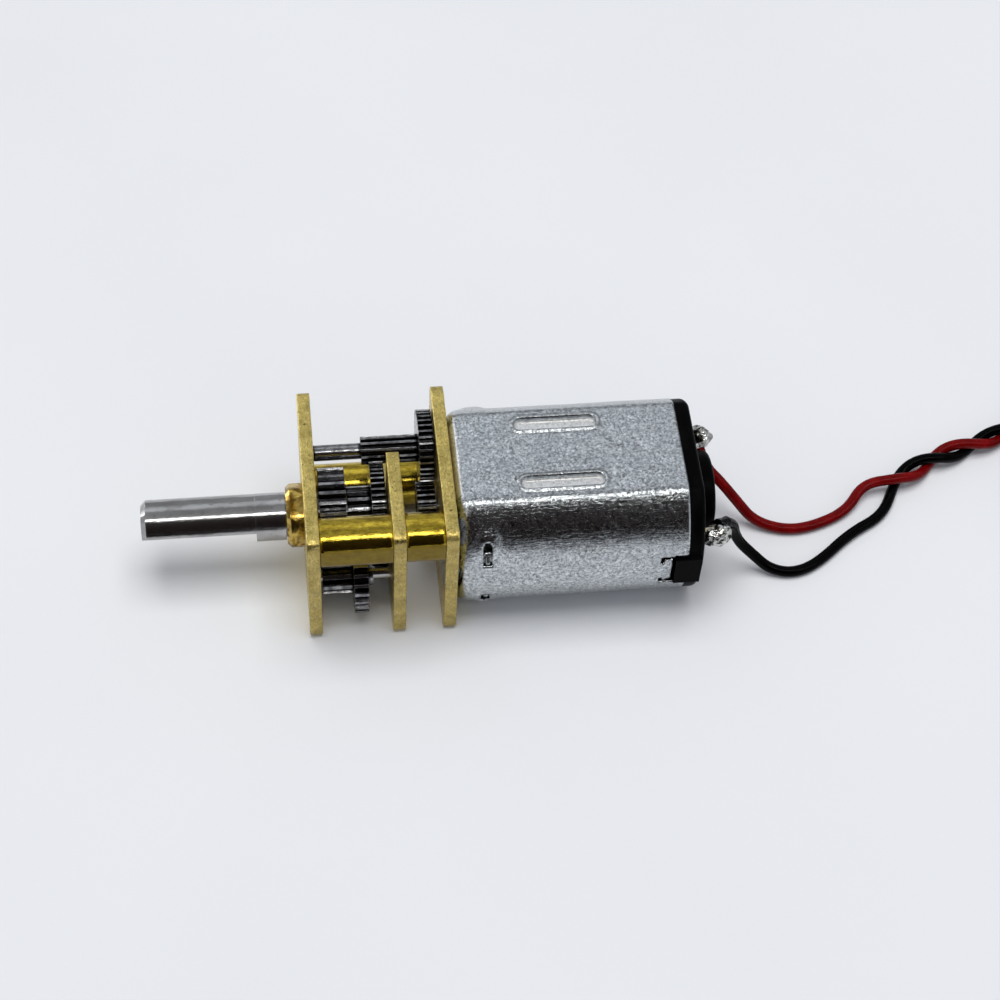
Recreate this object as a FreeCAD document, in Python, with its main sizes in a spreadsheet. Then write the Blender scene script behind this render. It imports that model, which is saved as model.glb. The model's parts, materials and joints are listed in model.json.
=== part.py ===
"""Geared dc motor: a small 12 x 10 mm brush motor with a four-stage spur gearbox and a D-shaft.

Millimetres.  The origin is the centre of the front plate's outer face, on the output shaft's
axis.  +X runs along the shafts from the gearbox to the motor's rear cap, +Y is across the
12 mm width and +Z is up through the 10 mm height.  The part lies on the plane Z = -5.
"""
import FreeCAD, Part
import math
import os

import Sketcher
from FreeCAD import Placement, Rotation, Vector

doc = FreeCAD.newDocument("geared_dc_motor")
sheet = doc.addObject("Spreadsheet::Sheet", "dims")

# ------------------------------------------------------------------ driving dimensions

SIZES = {
    # gearbox frame: three plates held apart by posts
    "plate_width": 12.0,
    "plate_height": 10.0,
    "plate_thickness": 0.8,
    "plate_corner": 0.8,
    "middle_plate_start": 5.2,
    "rear_plate_start": 8.35,
    "window_across": 0.75,
    "window_up": -0.8,
    "window_corner": 0.5,
    "post_across": 4.7,
    "post_up": 3.5,
    "post_diameter": 2.98,
    "frame_screw_diameter": 1.0,
    "frame_screw_head": 1.8,
    "frame_screw_tip": 0.02,
    "recess_depth": 0.25,
    "face_hole_spacing": 9.0,
    "face_hole_diameter": 1.6,
    # output shaft and its bush
    "shaft_diameter": 3.0,
    "shaft_tip": -10.0,
    "shaft_flatted_diameter": 2.98,
    "shaft_main_end": -1.1,
    "journal_diameter": 2.6,
    "shaft_shoulder": 0.95,
    "shaft_flat_depth": 0.5,
    "shaft_flat_end": -2.95,
    "shaft_flat_turn": 216.6,
    "shaft_tip_chamfer": 0.3,
    "shaft_seat_diameter": 2.0,
    "spigot_diameter": 1.2,
    "bush_diameter": 4.0,
    "bush_proud": 1.05,
    "bush_inner_end": 0.9,
    "bush_chamfer": 0.25,
    "running_gap": 0.04,
    # layshafts, at the same offset on opposite sides of the output axis
    "axle_diameter": 1.0,
    "axle_start": 0.02,
    "journal_start": 0.05,
    "journal_end": 9.1,
    "lay_across": 3.0,
    "lay_up": 2.3,
    # gear train, from the motor to the output
    "tooth_addendum": 0.95,
    "tooth_dedendum": 1.2,
    "gap_root_half": 0.45,
    "gap_tip_half": 1.22,
    "fine_module": 0.126,
    "motor_pinion_teeth": 24,
    "first_wheel_teeth": 36,
    "first_pinion_teeth": 12,
    "middle_wheel_teeth": 48,
    "middle_module": 0.189,
    "middle_pinion_teeth": 15,
    "third_wheel_teeth": 25,
    "coarse_module": 0.2043,
    "third_pinion_teeth": 11,
    "output_gear_teeth": 26,
    "motor_pinion_start": 7.1,
    "motor_pinion_end": 8.25,
    "first_wheel_start": 7.35,
    "first_wheel_end": 8.25,
    "first_pinion_start": 3.8,
    "wheel_seat_diameter": 1.3,
    "middle_wheel_start": 4.22,
    "middle_wheel_end": 5.1,
    "middle_pinion_start": 2.75,
    "third_wheel_start": 2.86,
    "third_wheel_end": 3.75,
    "third_pinion_start": 0.95,
    "third_hub_end": 4.1,
    "third_hub_diameter": 1.7,
    "output_gear_start": 1.0,
    "output_gear_end": 2.65,
    # motor can, closed at the front
    "can_start": 9.15,
    "can_end": 23.4,
    "can_diameter": 12.0,
    "can_height": 10.0,
    "can_wall": 0.5,
    "can_corner": 0.9,
    "can_front_radius": 0.85,
    "boss_diameter": 3.5,
    "boss_start": 8.45,
    "boss_clearance": 0.1,
    "bearing_diameter": 2.4,
    "motor_shaft_diameter": 1.0,
    "motor_shaft_start": 7.15,
    "motor_shaft_end": 25.0,
    "slot_length": 5.25,
    "slot_width": 0.95,
    "slot_centre": 15.8,
    "slot_across": 2.25,
    "slot_depth": 0.3,
    "punch_start": 10.65,
    "punch_length": 0.6,
    "punch_low": 1.5,
    "punch_high": 3.2,
    "notch_start": 22.5,
    "notch_width": 2.68,
    "slit_start": 21.66,
    "slit_width": 0.34,
    "motor_screw_head": 2.8,
    "motor_screw_tip": 10.25,
    "front_bearing_end": 10.05,
    # armature, magnets and brush gear
    "magnet_start": 11.6,
    "magnet_end": 21.0,
    "magnet_outer": 10.9,
    "magnet_inner": 7.2,
    "magnet_height": 8.7,
    "magnet_gap": 3.2,
    "core_start": 12.6,
    "core_end": 20.0,
    "core_diameter": 6.6,
    "winding_start": 11.9,
    "winding_end": 20.7,
    "winding_inner": 1.27,
    "winding_thickness": 0.95,
    "winding_width": 2.0,
    "pole_arm_width": 1.04,
    "commutator_start": 21.3,
    "commutator_end": 22.9,
    "commutator_diameter": 2.2,
    "commutator_hub_diameter": 1.5,
    "commutator_gap": 0.12,
    "brush_start": 21.42,
    "brush_end": 21.95,
    "brush_thickness": 0.2,
    "brush_clearance": 0.03,
    # rear cap, terminals and solder
    "cap_end": 24.4,
    "cap_diameter": 11.9,
    "cap_height": 9.9,
    "cap_corner": 0.9,
    "cap_edge": 0.35,
    "plug_start": 22.0,
    "plug_diameter": 10.9,
    "plug_height": 8.9,
    "cap_cavity_diameter": 7.2,
    "cap_cavity_end": 23.6,
    "cap_boss_diameter": 5.2,
    "cap_boss_start": 24.2,
    "cap_boss_end": 25.7,
    "rear_bearing_end": 25.2,
    "cap_tab_start": 22.6,
    "cap_tab_end": 24.25,
    "cap_tab_width": 2.4,
    "cap_tab_inner": 5.0,
    "cap_tab_proud": 6.08,
    "terminal_across": 3.85,
    "terminal_up": 0.55,
    "terminal_thickness": 0.3,
    "terminal_width": 1.3,
    "terminal_start": 21.4,
    "terminal_end": 25.9,
    "solder_diameter": 1.65,
    "solder_centre": 25.5,
    # leads
    "lead_diameter": 0.7,
    "lead_core_diameter": 0.42,
    "lead_bare_length": 2.4,
    "coil_centre_along": 56.3,
    "coil_centre_across": 0.9,
    "coil_outer_radius": 9.7,
    "coil_inner_radius": 4.9,
    "coil_edge": 0.3,
}

for row, (alias, number) in enumerate(SIZES.items(), start=1):
    sheet.set(f"A{row}", alias)
    sheet.set(f"B{row}", str(number))
    sheet.setAlias(f"B{row}", alias)
doc.recompute()

TABLE = -SIZES["plate_height"] / 2

# Local x, y, z of an axial sub-part are the model's Y, Z, X.
AXIAL = Rotation(Vector(0, 1, 0), Vector(0, 0, 1), Vector(1, 0, 0), "ZXY")

nodes = []
cuts = []


def size(alias):
    """A size as a sheet expression."""
    return f"dims.{alias}"


# ------------------------------------------------------------------ modelling helpers


def new_body(label, across="0", up="0", turn=0.0):
    """A body whose local z runs along +X, on an axis at the given Y and Z."""
    body = doc.addObject("PartDesign::Body", label)
    body.Placement = Placement(Vector(0, 0, 0), AXIAL.multiply(Rotation(Vector(0, 0, 1), turn)))
    body.setExpression("Placement.Base.y", across)
    body.setExpression("Placement.Base.z", up)
    nodes.append(body)
    return body


def origin_plane(body, role):
    return next(plane for plane in body.Origin.OriginFeatures if plane.Role == role)


def new_sketch(body, name, start="0", role="XY_Plane"):
    """A sketch square to the body's axis, start along it."""
    sketch = body.newObject("Sketcher::SketchObject", f"{body.Name}_{name}")
    sketch.AttachmentSupport = (origin_plane(body, role), "")
    sketch.MapMode = "FlatFace"
    sketch.setExpression("AttachmentOffset.Base.z", start)
    return sketch


def bind(sketch, kind, *where, to, at_first=1.0):
    """Add a dimension, first as a number, and tie it to a sheet expression."""
    index = sketch.addConstraint(Sketcher.Constraint(kind, *where, at_first))
    sketch.setExpression(f"Constraints[{index}]", to)


def add_circle(sketch, diameter, across=None, up=None):
    """A circle on the sketch's origin, or at the given place."""
    circle = sketch.addGeometry(Part.Circle(Vector(0, 0, 0), Vector(0, 0, 1), 1.0), False)
    bind(sketch, "Diameter", circle, to=diameter)
    if across is None:
        sketch.addConstraint(Sketcher.Constraint("Coincident", circle, 3, -1, 1))
    else:
        bind(sketch, "DistanceX", -1, 1, circle, 3, to=across)
        bind(sketch, "DistanceY", -1, 1, circle, 3, to=up)


def add_polygon(sketch, corners):
    """A closed outline of straight lines; each corner is a pair of expressions."""
    count = len(corners)
    angle = 2 * math.pi / count
    rough = [Vector(math.cos(k * angle), math.sin(k * angle), 0) for k in range(count)]
    lines = [
        sketch.addGeometry(Part.LineSegment(rough[k], rough[(k + 1) % count]), False)
        for k in range(count)
    ]
    for k, (across, up) in enumerate(corners):
        sketch.addConstraint(Sketcher.Constraint("Coincident", lines[k - 1], 2, lines[k], 1))
        bind(sketch, "DistanceX", -1, 1, lines[k], 1, to=across)
        bind(sketch, "DistanceY", -1, 1, lines[k], 1, to=up)


def add_rectangle(sketch, low_across, high_across, low_up, high_up):
    add_polygon(
        sketch,
        [(high_across, high_up), (low_across, high_up), (low_across, low_up), (high_across, low_up)],
    )


def add_two_flat(sketch, diameter, height):
    """A circle cut by two level flats, the outline of this kind of motor."""
    half_wide, half_high = 0.83, 1.0
    radius = math.hypot(half_wide, half_high)
    lean = math.atan2(half_high, half_wide)
    centre = Part.Circle(Vector(0, 0, 0), Vector(0, 0, 1), radius)
    top = sketch.addGeometry(
        Part.LineSegment(Vector(half_wide, half_high, 0), Vector(-half_wide, half_high, 0)), False
    )
    left = sketch.addGeometry(Part.ArcOfCircle(centre, math.pi - lean, math.pi + lean), False)
    bottom = sketch.addGeometry(
        Part.LineSegment(Vector(-half_wide, -half_high, 0), Vector(half_wide, -half_high, 0)), False
    )
    right = sketch.addGeometry(Part.ArcOfCircle(centre, -lean, lean), False)
    for first, second in ((top, left), (left, bottom), (bottom, right), (right, top)):
        sketch.addConstraint(Sketcher.Constraint("Coincident", first, 2, second, 1))
    for arc in (left, right):
        sketch.addConstraint(Sketcher.Constraint("Coincident", arc, 3, -1, 1))
    sketch.addConstraint(Sketcher.Constraint("Horizontal", top))
    sketch.addConstraint(Sketcher.Constraint("Horizontal", bottom))
    sketch.addConstraint(Sketcher.Constraint("Equal", left, right))
    bind(sketch, "Diameter", left, to=diameter)
    bind(sketch, "DistanceY", -1, 1, top, 1, to=f"{height} / 2")
    bind(sketch, "DistanceY", bottom, 1, -1, 1, to=f"{height} / 2")


def pad(body, sketch, length):
    feature = body.newObject("PartDesign::Pad", f"{sketch.Name}_pad")
    feature.Profile = sketch
    feature.setExpression("Length", length)
    return feature


def pocket(body, sketch, length=None):
    """Cut the sketch's outline along +local z, through all of the body without a length."""
    feature = body.newObject("PartDesign::Pocket", f"{sketch.Name}_cut")
    feature.Profile = sketch
    feature.Reversed = True
    if length is None:
        feature.Type = "ThroughAll"
    else:
        feature.setExpression("Length", length)
    cuts.append(feature)
    return feature


def both_ways(feature):
    """Cut a sketch's outline through the body on both sides of the sketch."""
    feature.Reversed = False
    feature.Type = "ThroughAll"
    feature.Midplane = True


def disc(body, name, diameter, start, end):
    """A round length of a turned piece."""
    sketch = new_sketch(body, name, start)
    add_circle(sketch, diameter)
    return pad(body, sketch, f"{end} - ({start})")


def bore(body, name, diameter, start="0", length=None):
    sketch = new_sketch(body, name, start)
    add_circle(sketch, diameter)
    return pocket(body, sketch, length)


def holes(body, name, circles, start="0", length=None):
    """Round holes along the axis; each circle is a diameter and a place."""
    sketch = new_sketch(body, name, start)
    for diameter, across, up in circles:
        add_circle(sketch, diameter, across, up)
    return pocket(body, sketch, length)


def chosen_edges(feature, wanted):
    doc.recompute()
    return [f"Edge{k}" for k, edge in enumerate(feature.Shape.Edges, start=1) if wanted(edge)]


def dress(body, kind, feature, wanted, radius):
    """Fillet or chamfer the edges that the test picks."""
    edges = chosen_edges(feature, wanted)
    finish = body.newObject(f"PartDesign::{kind}", f"{feature.Name}_{kind.lower()}")
    finish.Base = (feature, edges)
    finish.setExpression("Radius" if kind == "Fillet" else "Size", radius)
    return finish


def lengthwise(edge):
    box = edge.BoundBox
    return box.ZLength > 1e-3 and box.XLength < 1e-3 and box.YLength < 1e-3


def is_level(edge):
    return edge.BoundBox.ZLength < 1e-3


def level_at(height):
    """A test for edges that lie in the plane square to the axis at this place."""
    return lambda edge: is_level(edge) and abs(edge.BoundBox.ZMin - height) < 1e-3


def pattern(body, feature, count):
    """Repeat a cut evenly round the body's axis."""
    repeat = body.newObject("PartDesign::PolarPattern", f"{feature.Name}_round")
    repeat.Originals = [feature]
    axis = next(line for line in body.Origin.OriginFeatures if line.Role == "Z_Axis")
    repeat.Axis = (axis, [""])
    repeat.Angle = 360
    repeat.Occurrences = count
    body.Tip = repeat


def cut_teeth(body, teeth, module, start, end):
    """Cut straight-flanked tooth gaps into a blank, the first one on local +x."""
    sketch = new_sketch(body, "gap", start)
    root = f"{size(module)} * ({size(teeth)} / 2 - {size('tooth_dedendum')})"
    tip = f"{size(module)} * ({size(teeth)} / 2 + 1)"
    root_half = f"{size(module)} * {size('gap_root_half')}"
    tip_half = f"{size(module)} * {size('gap_tip_half')}"
    add_polygon(
        sketch,
        [(tip, tip_half), (root, root_half), (root, f"-{root_half}"), (tip, f"-{tip_half}")],
    )
    gap = pocket(body, sketch, f"{end} - ({start})")
    pattern(body, gap, int(SIZES[teeth]))


def tip_diameter(teeth, module):
    return f"{size(module)} * ({size(teeth)} + 2 * {size('tooth_addendum')})"


def gear(label, teeth, module, start, end, hole, across="0", up="0", turn=0.0):
    """A plain spur gear with a round bore; turn points its first gap at its partner."""
    body = new_body(label, across, up, turn)
    disc(body, "blank", tip_diameter(teeth, module), size(start), size(end))
    bore(body, "hole", hole, size(start))
    cut_teeth(body, teeth, module, size(start), size(end))
    return body


def plain_cylinder(name, diameter, start, end, across="0", up="0"):
    """A Part cylinder along +X."""
    cylinder = doc.addObject("Part::Cylinder", name)
    cylinder.Placement = Placement(Vector(0, 0, 0), AXIAL)
    cylinder.setExpression("Radius", f"({diameter}) / 2")
    cylinder.setExpression("Height", f"{end} - ({start})")
    cylinder.setExpression("Placement.Base.x", start)
    cylinder.setExpression("Placement.Base.y", across)
    cylinder.setExpression("Placement.Base.z", up)
    return cylinder


def plain_cone(name, small, large, start, end, across, up):
    """A Part cone along +X that widens from small to large."""
    cone = doc.addObject("Part::Cone", name)
    cone.Placement = Placement(Vector(0, 0, 0), AXIAL)
    cone.setExpression("Radius1", f"({small}) / 2")
    cone.setExpression("Radius2", f"({large}) / 2")
    cone.setExpression("Height", f"{end} - ({start})")
    cone.setExpression("Placement.Base.x", start)
    cone.setExpression("Placement.Base.y", across)
    cone.setExpression("Placement.Base.z", up)
    return cone


def plain_box(name, along, across, up):
    """A Part box between pairs of expressions along X, Y and Z."""
    box = doc.addObject("Part::Box", name)
    for side, axis, (low, high) in (
        ("Length", "x", along),
        ("Width", "y", across),
        ("Height", "z", up),
    ):
        box.setExpression(side, f"{high} - ({low})")
        box.setExpression(f"Placement.Base.{axis}", low)
    return box


def combine(kind, name, *shapes):
    """Part booleans: Cut takes two shapes, Fuse, Common and Compound take several."""
    types = {"Cut": "Part::Cut", "Fuse": "Part::MultiFuse", "Common": "Part::MultiCommon"}
    joined = doc.addObject(types.get(kind, "Part::Compound"), name)
    if kind == "Cut":
        joined.Base, joined.Tool = shapes
    elif kind == "Compound":
        joined.Links = list(shapes)
    else:
        joined.Shapes = list(shapes)
    return joined


def keep(shape, label):
    """Make a Part object one of the sub-parts."""
    shape.Label = label
    nodes.append(shape)


# Two signs place what comes in pairs: posts and layshafts sit on opposite corners.
LAY_ANGLE = math.degrees(math.atan2(SIZES["lay_up"], SIZES["lay_across"]))
LAY_PLACE = {
    1: (size("lay_across"), size("lay_up")),
    -1: (f"-{size('lay_across')}", f"-{size('lay_up')}"),
}
POST_PLACE = {
    "near": (f"-{size('post_across')}", size("post_up")),
    "far": (size("post_across"), f"-{size('post_up')}"),
}
HALF_PITCH = {teeth: 180.0 / SIZES[teeth] for teeth in SIZES if teeth.endswith("_teeth")}
PLATE_STARTS = {"front": "0", "middle": size("middle_plate_start"), "rear": size("rear_plate_start")}
HALF_WIDTH = f"{size('plate_width')} / 2"
HALF_HEIGHT = f"{size('plate_height')} / 2"
REAR_FACE = size("can_start")
MIDDLE_BACK = f"{size('middle_plate_start')} + {size('plate_thickness')}"


# ------------------------------------------------------------------ gearbox frame


def make_plate(name, circles):
    """A brass plate with rounded corners and round holes."""
    start = PLATE_STARTS[name]
    body = new_body(f"{name}_plate")
    sketch = new_sketch(body, "outline", start)
    add_rectangle(sketch, f"-{HALF_WIDTH}", HALF_WIDTH, f"-{HALF_HEIGHT}", HALF_HEIGHT)
    blank = pad(body, sketch, size("plate_thickness"))
    dress(body, "Fillet", blank, lengthwise, size("plate_corner"))
    post_holes = [(size("frame_screw_diameter"), *place) for place in POST_PLACE.values()]
    holes(body, "holes", circles + post_holes, start)
    return body


half_spacing = f"{size('face_hole_spacing')} / 2"
face_holes = [(size("face_hole_diameter"), f"{sign}{half_spacing}", "0") for sign in ("", "-")]
journal_hole = f"{size('axle_diameter')} + {size('running_gap')}"

make_plate(
    "front",
    face_holes
    + [
        (size("bush_diameter"), "0", "0"),
        (journal_hole, *LAY_PLACE[1]),
        (size("axle_diameter"), *LAY_PLACE[-1]),
    ],
)

middle_plate = make_plate(
    "middle",
    [
        (f"{size('spigot_diameter')} + {size('running_gap')}", "0", "0"),
        (size("axle_diameter"), *LAY_PLACE[-1]),
    ],
)
window = new_sketch(middle_plate, "window", PLATE_STARTS["middle"])
add_rectangle(
    window, size("window_across"), f"{HALF_WIDTH} + 1", size("window_up"), f"{HALF_HEIGHT} + 1"
)
window_cut = pocket(middle_plate, window)


def window_inner_corner(edge):
    """The one inside corner of the window cut in the middle plate."""
    centre = edge.BoundBox.Center
    place = Vector(SIZES["window_across"], SIZES["window_up"], centre.z)
    return lengthwise(edge) and centre.distanceToPoint(place) < 1e-3


dress(middle_plate, "Fillet", window_cut, window_inner_corner, size("window_corner"))

rear_plate = make_plate(
    "rear",
    face_holes
    + [
        (f"{size('boss_diameter')} + {size('boss_clearance')}", "0", "0"),
        (journal_hole, *LAY_PLACE[1]),
    ],
)


def countersink(body, name, hole, head, places, face, forward):
    """Conical seats for screw heads, cut into a face; forward ones narrow towards +X."""
    depth = f"({size(head)} - {size(hole)}) / 2"
    wide, narrow = ("Radius1", "Radius2") if forward else ("Radius2", "Radius1")
    for index, (across, up) in enumerate(places):
        cone = body.newObject("PartDesign::SubtractiveCone", f"{body.Name}_{name}_{index}")
        cone.setExpression(wide, f"{size(head)} / 2")
        cone.setExpression(narrow, f"{size(hole)} / 2")
        cone.setExpression("Height", depth)
        cone.AttachmentSupport = (origin_plane(body, "XY_Plane"), "")
        cone.MapMode = "FlatFace"
        cone.setExpression("AttachmentOffset.Base.x", across)
        cone.setExpression("AttachmentOffset.Base.y", up)
        cone.setExpression("AttachmentOffset.Base.z", face if forward else f"{face} - {depth}")
        cuts.append(cone)


MOTOR_SCREW_PLACES = [(f"{sign}{half_spacing}", "0") for sign in ("", "-")]
countersink(
    rear_plate, "motor_seat", "face_hole_diameter", "motor_screw_head",
    MOTOR_SCREW_PLACES, PLATE_STARTS["rear"], forward=True,
)
countersink(
    rear_plate, "frame_seat", "frame_screw_diameter", "frame_screw_head",
    POST_PLACE.values(), REAR_FACE, forward=False,
)


def make_posts(label, start, end):
    """Two brass posts on opposite corners, their sides trimmed flush with the plates' edges."""
    posts = []
    for side, (across, up) in POST_PLACE.items():
        name = f"{label}_{side}"
        rod = plain_cylinder(f"{name}_rod", size("post_diameter"), start, end, across, up)
        envelope = plain_box(
            f"{name}_envelope",
            (start, end),
            (f"-{HALF_WIDTH}", HALF_WIDTH),
            (f"-{HALF_HEIGHT}", HALF_HEIGHT),
        )
        trimmed = combine("Common", f"{name}_trimmed", rod, envelope)
        drill = plain_cylinder(f"{name}_drill", size("frame_screw_diameter"), start, end, across, up)
        posts.append(combine("Cut", name, trimmed, drill))
    keep(combine("Compound", f"{label}_pair", *posts), label)


make_posts("front_posts", size("plate_thickness"), size("middle_plate_start"))
make_posts("rear_posts", MIDDLE_BACK, size("rear_plate_start"))

# A cross recess, as shares of the screw head's diameter.
RECESS_REACH = 0.3
RECESS_HALF_SLOT = 0.06


def cross_recess(name, head, across, up, low, high):
    """The cross-shaped tool that cuts a screw head's recess."""
    reach = f"{size(head)} * {RECESS_REACH}"
    half_slot = f"{size(head)} * {RECESS_HALF_SLOT}"
    arms = [
        plain_box(
            f"{name}_slot_{arm}",
            (low, high),
            (f"{across} - {wide}", f"{across} + {wide}"),
            (f"{up} - {tall}", f"{up} + {tall}"),
        )
        for arm, (wide, tall) in enumerate(((reach, half_slot), (half_slot, reach)))
    ]
    return combine("Fuse", f"{name}_recess", *arms)


def make_screws(label, places, shank, head, head_face, tip, forward):
    """Countersunk screws with a cross recess; forward heads open towards -X."""
    screws = []
    depth = f"({size(head)} - {size(shank)}) / 2"
    recess = size("recess_depth")
    for index, (across, up) in enumerate(places):
        name = f"{label}_{index}"
        if forward:
            neck = f"{head_face} + {depth}"
            cone = plain_cone(f"{name}_head", size(head), size(shank), head_face, neck, across, up)
            rod = plain_cylinder(f"{name}_shank", size(shank), neck, tip, across, up)
            tool = cross_recess(name, head, across, up, head_face, f"{head_face} + {recess}")
        else:
            neck = f"{head_face} - {depth}"
            cone = plain_cone(f"{name}_head", size(shank), size(head), neck, head_face, across, up)
            rod = plain_cylinder(f"{name}_shank", size(shank), tip, neck, across, up)
            tool = cross_recess(name, head, across, up, f"{head_face} - {recess}", head_face)
        blank = combine("Fuse", f"{name}_blank", cone, rod)
        screws.append(combine("Cut", name, blank, tool))
    keep(combine("Compound", f"{label}_set", *screws), label)


make_screws(
    "frame_screws", POST_PLACE.values(), "frame_screw_diameter", "frame_screw_head",
    REAR_FACE, size("frame_screw_tip"), forward=False,
)
make_screws(
    "motor_screws", MOTOR_SCREW_PLACES, "face_hole_diameter", "motor_screw_head",
    PLATE_STARTS["rear"], size("motor_screw_tip"), forward=True,
)


# ------------------------------------------------------------------ output shaft


bush = new_body("output_bush")
bush_blank = disc(bush, "blank", size("bush_diameter"), f"-{size('bush_proud')}", size("bush_inner_end"))
dress(bush, "Chamfer", bush_blank, level_at(-SIZES["bush_proud"]), size("bush_chamfer"))
bore(bush, "hole", f"{size('journal_diameter')} + {size('running_gap')}", f"-{size('bush_proud')}")

# The shaft's flatted end is ground a little under its full diameter, and a thinner journal
# runs in the bush.  The flat looks down and towards -Y at rest.
shaft = new_body("output_shaft", turn=SIZES["shaft_flat_turn"])
disc(shaft, "seat", size("shaft_seat_diameter"), size("shaft_shoulder"), size("output_gear_end"))
disc(shaft, "spigot", size("spigot_diameter"), size("output_gear_end"), MIDDLE_BACK)
disc(shaft, "journal", size("journal_diameter"), size("shaft_main_end"), size("shaft_shoulder"))
disc(shaft, "main", size("shaft_diameter"), size("shaft_flat_end"), size("shaft_main_end"))
flatted = disc(
    shaft, "flatted", size("shaft_flatted_diameter"), size("shaft_tip"), size("shaft_flat_end")
)
dress(shaft, "Chamfer", flatted, level_at(SIZES["shaft_tip"]), size("shaft_tip_chamfer"))
flat = new_sketch(shaft, "flat", size("shaft_tip"))
radius = f"{size('shaft_diameter')} / 2"
add_rectangle(flat, f"{radius} - {size('shaft_flat_depth')}", f"{radius} + 1", f"-{radius}", radius)
pocket(shaft, flat, f"{size('shaft_flat_end')} - {size('shaft_tip')}")


# ------------------------------------------------------------------ gear train

# The upper layshaft lies at LAY_ANGLE from the centre, the lower one opposite.  A driven
# gear has a gap on the line of centres, and its driver a tooth, half a pitch away.
gear(
    "output_gear", "output_gear_teeth", "coarse_module", "output_gear_start", "output_gear_end",
    size("shaft_seat_diameter"), turn=LAY_ANGLE + 180.0,
)

free_on_spigot = f"{size('spigot_diameter')} + {size('running_gap')}"
middle_pinion = new_body("middle_pinion", turn=LAY_ANGLE + 180.0 + HALF_PITCH["middle_pinion_teeth"])
disc(
    middle_pinion, "blank", tip_diameter("middle_pinion_teeth", "middle_module"),
    size("middle_pinion_start"), size("middle_wheel_start"),
)
cut_teeth(
    middle_pinion, "middle_pinion_teeth", "middle_module",
    size("middle_pinion_start"), size("middle_wheel_start"),
)
disc(
    middle_pinion, "seat", size("shaft_seat_diameter"),
    size("middle_wheel_start"), size("middle_wheel_end"),
)
bore(middle_pinion, "hole", free_on_spigot, size("middle_pinion_start"))
gear(
    "middle_wheel", "middle_wheel_teeth", "fine_module", "middle_wheel_start", "middle_wheel_end",
    size("shaft_seat_diameter"), turn=LAY_ANGLE,
)

first_pinion = new_body(
    "first_pinion_shaft", *LAY_PLACE[1], turn=LAY_ANGLE + 180.0 + HALF_PITCH["first_pinion_teeth"]
)
disc(
    first_pinion, "blank", tip_diameter("first_pinion_teeth", "fine_module"),
    size("first_pinion_start"), size("first_wheel_start"),
)
cut_teeth(
    first_pinion, "first_pinion_teeth", "fine_module",
    size("first_pinion_start"), size("first_wheel_start"),
)
disc(
    first_pinion, "wheel_seat", size("wheel_seat_diameter"),
    size("first_wheel_start"), size("first_wheel_end"),
)
disc(first_pinion, "journal", size("axle_diameter"), size("journal_start"), size("journal_end"))
gear(
    "first_wheel", "first_wheel_teeth", "fine_module", "first_wheel_start", "first_wheel_end",
    size("wheel_seat_diameter"), *LAY_PLACE[1], turn=LAY_ANGLE + 180.0,
)

lower_axle_pin = plain_cylinder(
    "lower_axle_pin", size("axle_diameter"), size("axle_start"), MIDDLE_BACK, *LAY_PLACE[-1]
)
keep(lower_axle_pin, "lower_axle")
free_on_axle = f"{size('axle_diameter')} + {size('running_gap')}"
third_pinion = new_body("third_pinion", *LAY_PLACE[-1], turn=LAY_ANGLE + HALF_PITCH["third_pinion_teeth"])
disc(
    third_pinion, "blank", tip_diameter("third_pinion_teeth", "coarse_module"),
    size("third_pinion_start"), size("third_wheel_start"),
)
cut_teeth(
    third_pinion, "third_pinion_teeth", "coarse_module",
    size("third_pinion_start"), size("third_wheel_start"),
)
disc(
    third_pinion, "hub", size("third_hub_diameter"),
    size("third_wheel_start"), size("third_hub_end"),
)
bore(third_pinion, "hole", free_on_axle, size("third_pinion_start"))
gear(
    "third_wheel", "third_wheel_teeth", "middle_module", "third_wheel_start", "third_wheel_end",
    size("third_hub_diameter"), *LAY_PLACE[-1], turn=LAY_ANGLE,
)

gear(
    "motor_pinion", "motor_pinion_teeth", "fine_module", "motor_pinion_start", "motor_pinion_end",
    size("motor_shaft_diameter"), turn=LAY_ANGLE + HALF_PITCH["motor_pinion_teeth"],
)


# ------------------------------------------------------------------ motor can


can = new_body("motor_can")
can_outline = new_sketch(can, "outline", size("can_start"))
add_two_flat(can_outline, size("can_diameter"), size("can_height"))
can_blank = pad(can, can_outline, f"{size('can_end')} - {size('can_start')}")
can_long = dress(can, "Fillet", can_blank, lengthwise, size("can_corner"))
dress(can, "Fillet", can_long, level_at(SIZES["can_start"]), size("can_front_radius"))
disc(can, "boss", size("boss_diameter"), size("boss_start"), f"{size('can_start')} + {size('can_wall')}")
cavity = new_sketch(can, "cavity", f"{size('can_start')} + {size('can_wall')}")
add_two_flat(
    cavity,
    f"{size('can_diameter')} - 2 * {size('can_wall')}",
    f"({size('can_height')} - 2 * {size('can_wall')})",
)
pocket(can, cavity)
bore(can, "bearing_hole", size("bearing_diameter"), size("boss_start"))
holes(can, "screw_holes", face_holes, size("can_start"), size("can_wall"))

# Side openings, cut across the can through both of its round sides: two punched slots near
# the front, and a notch open to the rear whose corners run on as slits.  Sketch x is the
# model's Z here and sketch y its X.
side = new_sketch(can, "side_openings", role="YZ_Plane")
punch_end = f"{size('punch_start')} + {size('punch_length')}"
add_rectangle(side, size("punch_low"), size("punch_high"), size("punch_start"), punch_end)
add_rectangle(side, f"-{size('punch_high')}", f"-{size('punch_low')}", size("punch_start"), punch_end)
half_notch = f"{size('notch_width')} / 2"
slit_inner = f"{size('notch_width')} / 2 - {size('slit_width')}"
past_end = f"{size('can_end')} + 1"
notch_half = [
    (half_notch, past_end),
    (half_notch, size("slit_start")),
    (slit_inner, size("slit_start")),
    (slit_inner, size("notch_start")),
]
add_polygon(side, notch_half + [(f"-({up})", along) for up, along in reversed(notch_half)])
both_ways(pocket(can, side))


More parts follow.
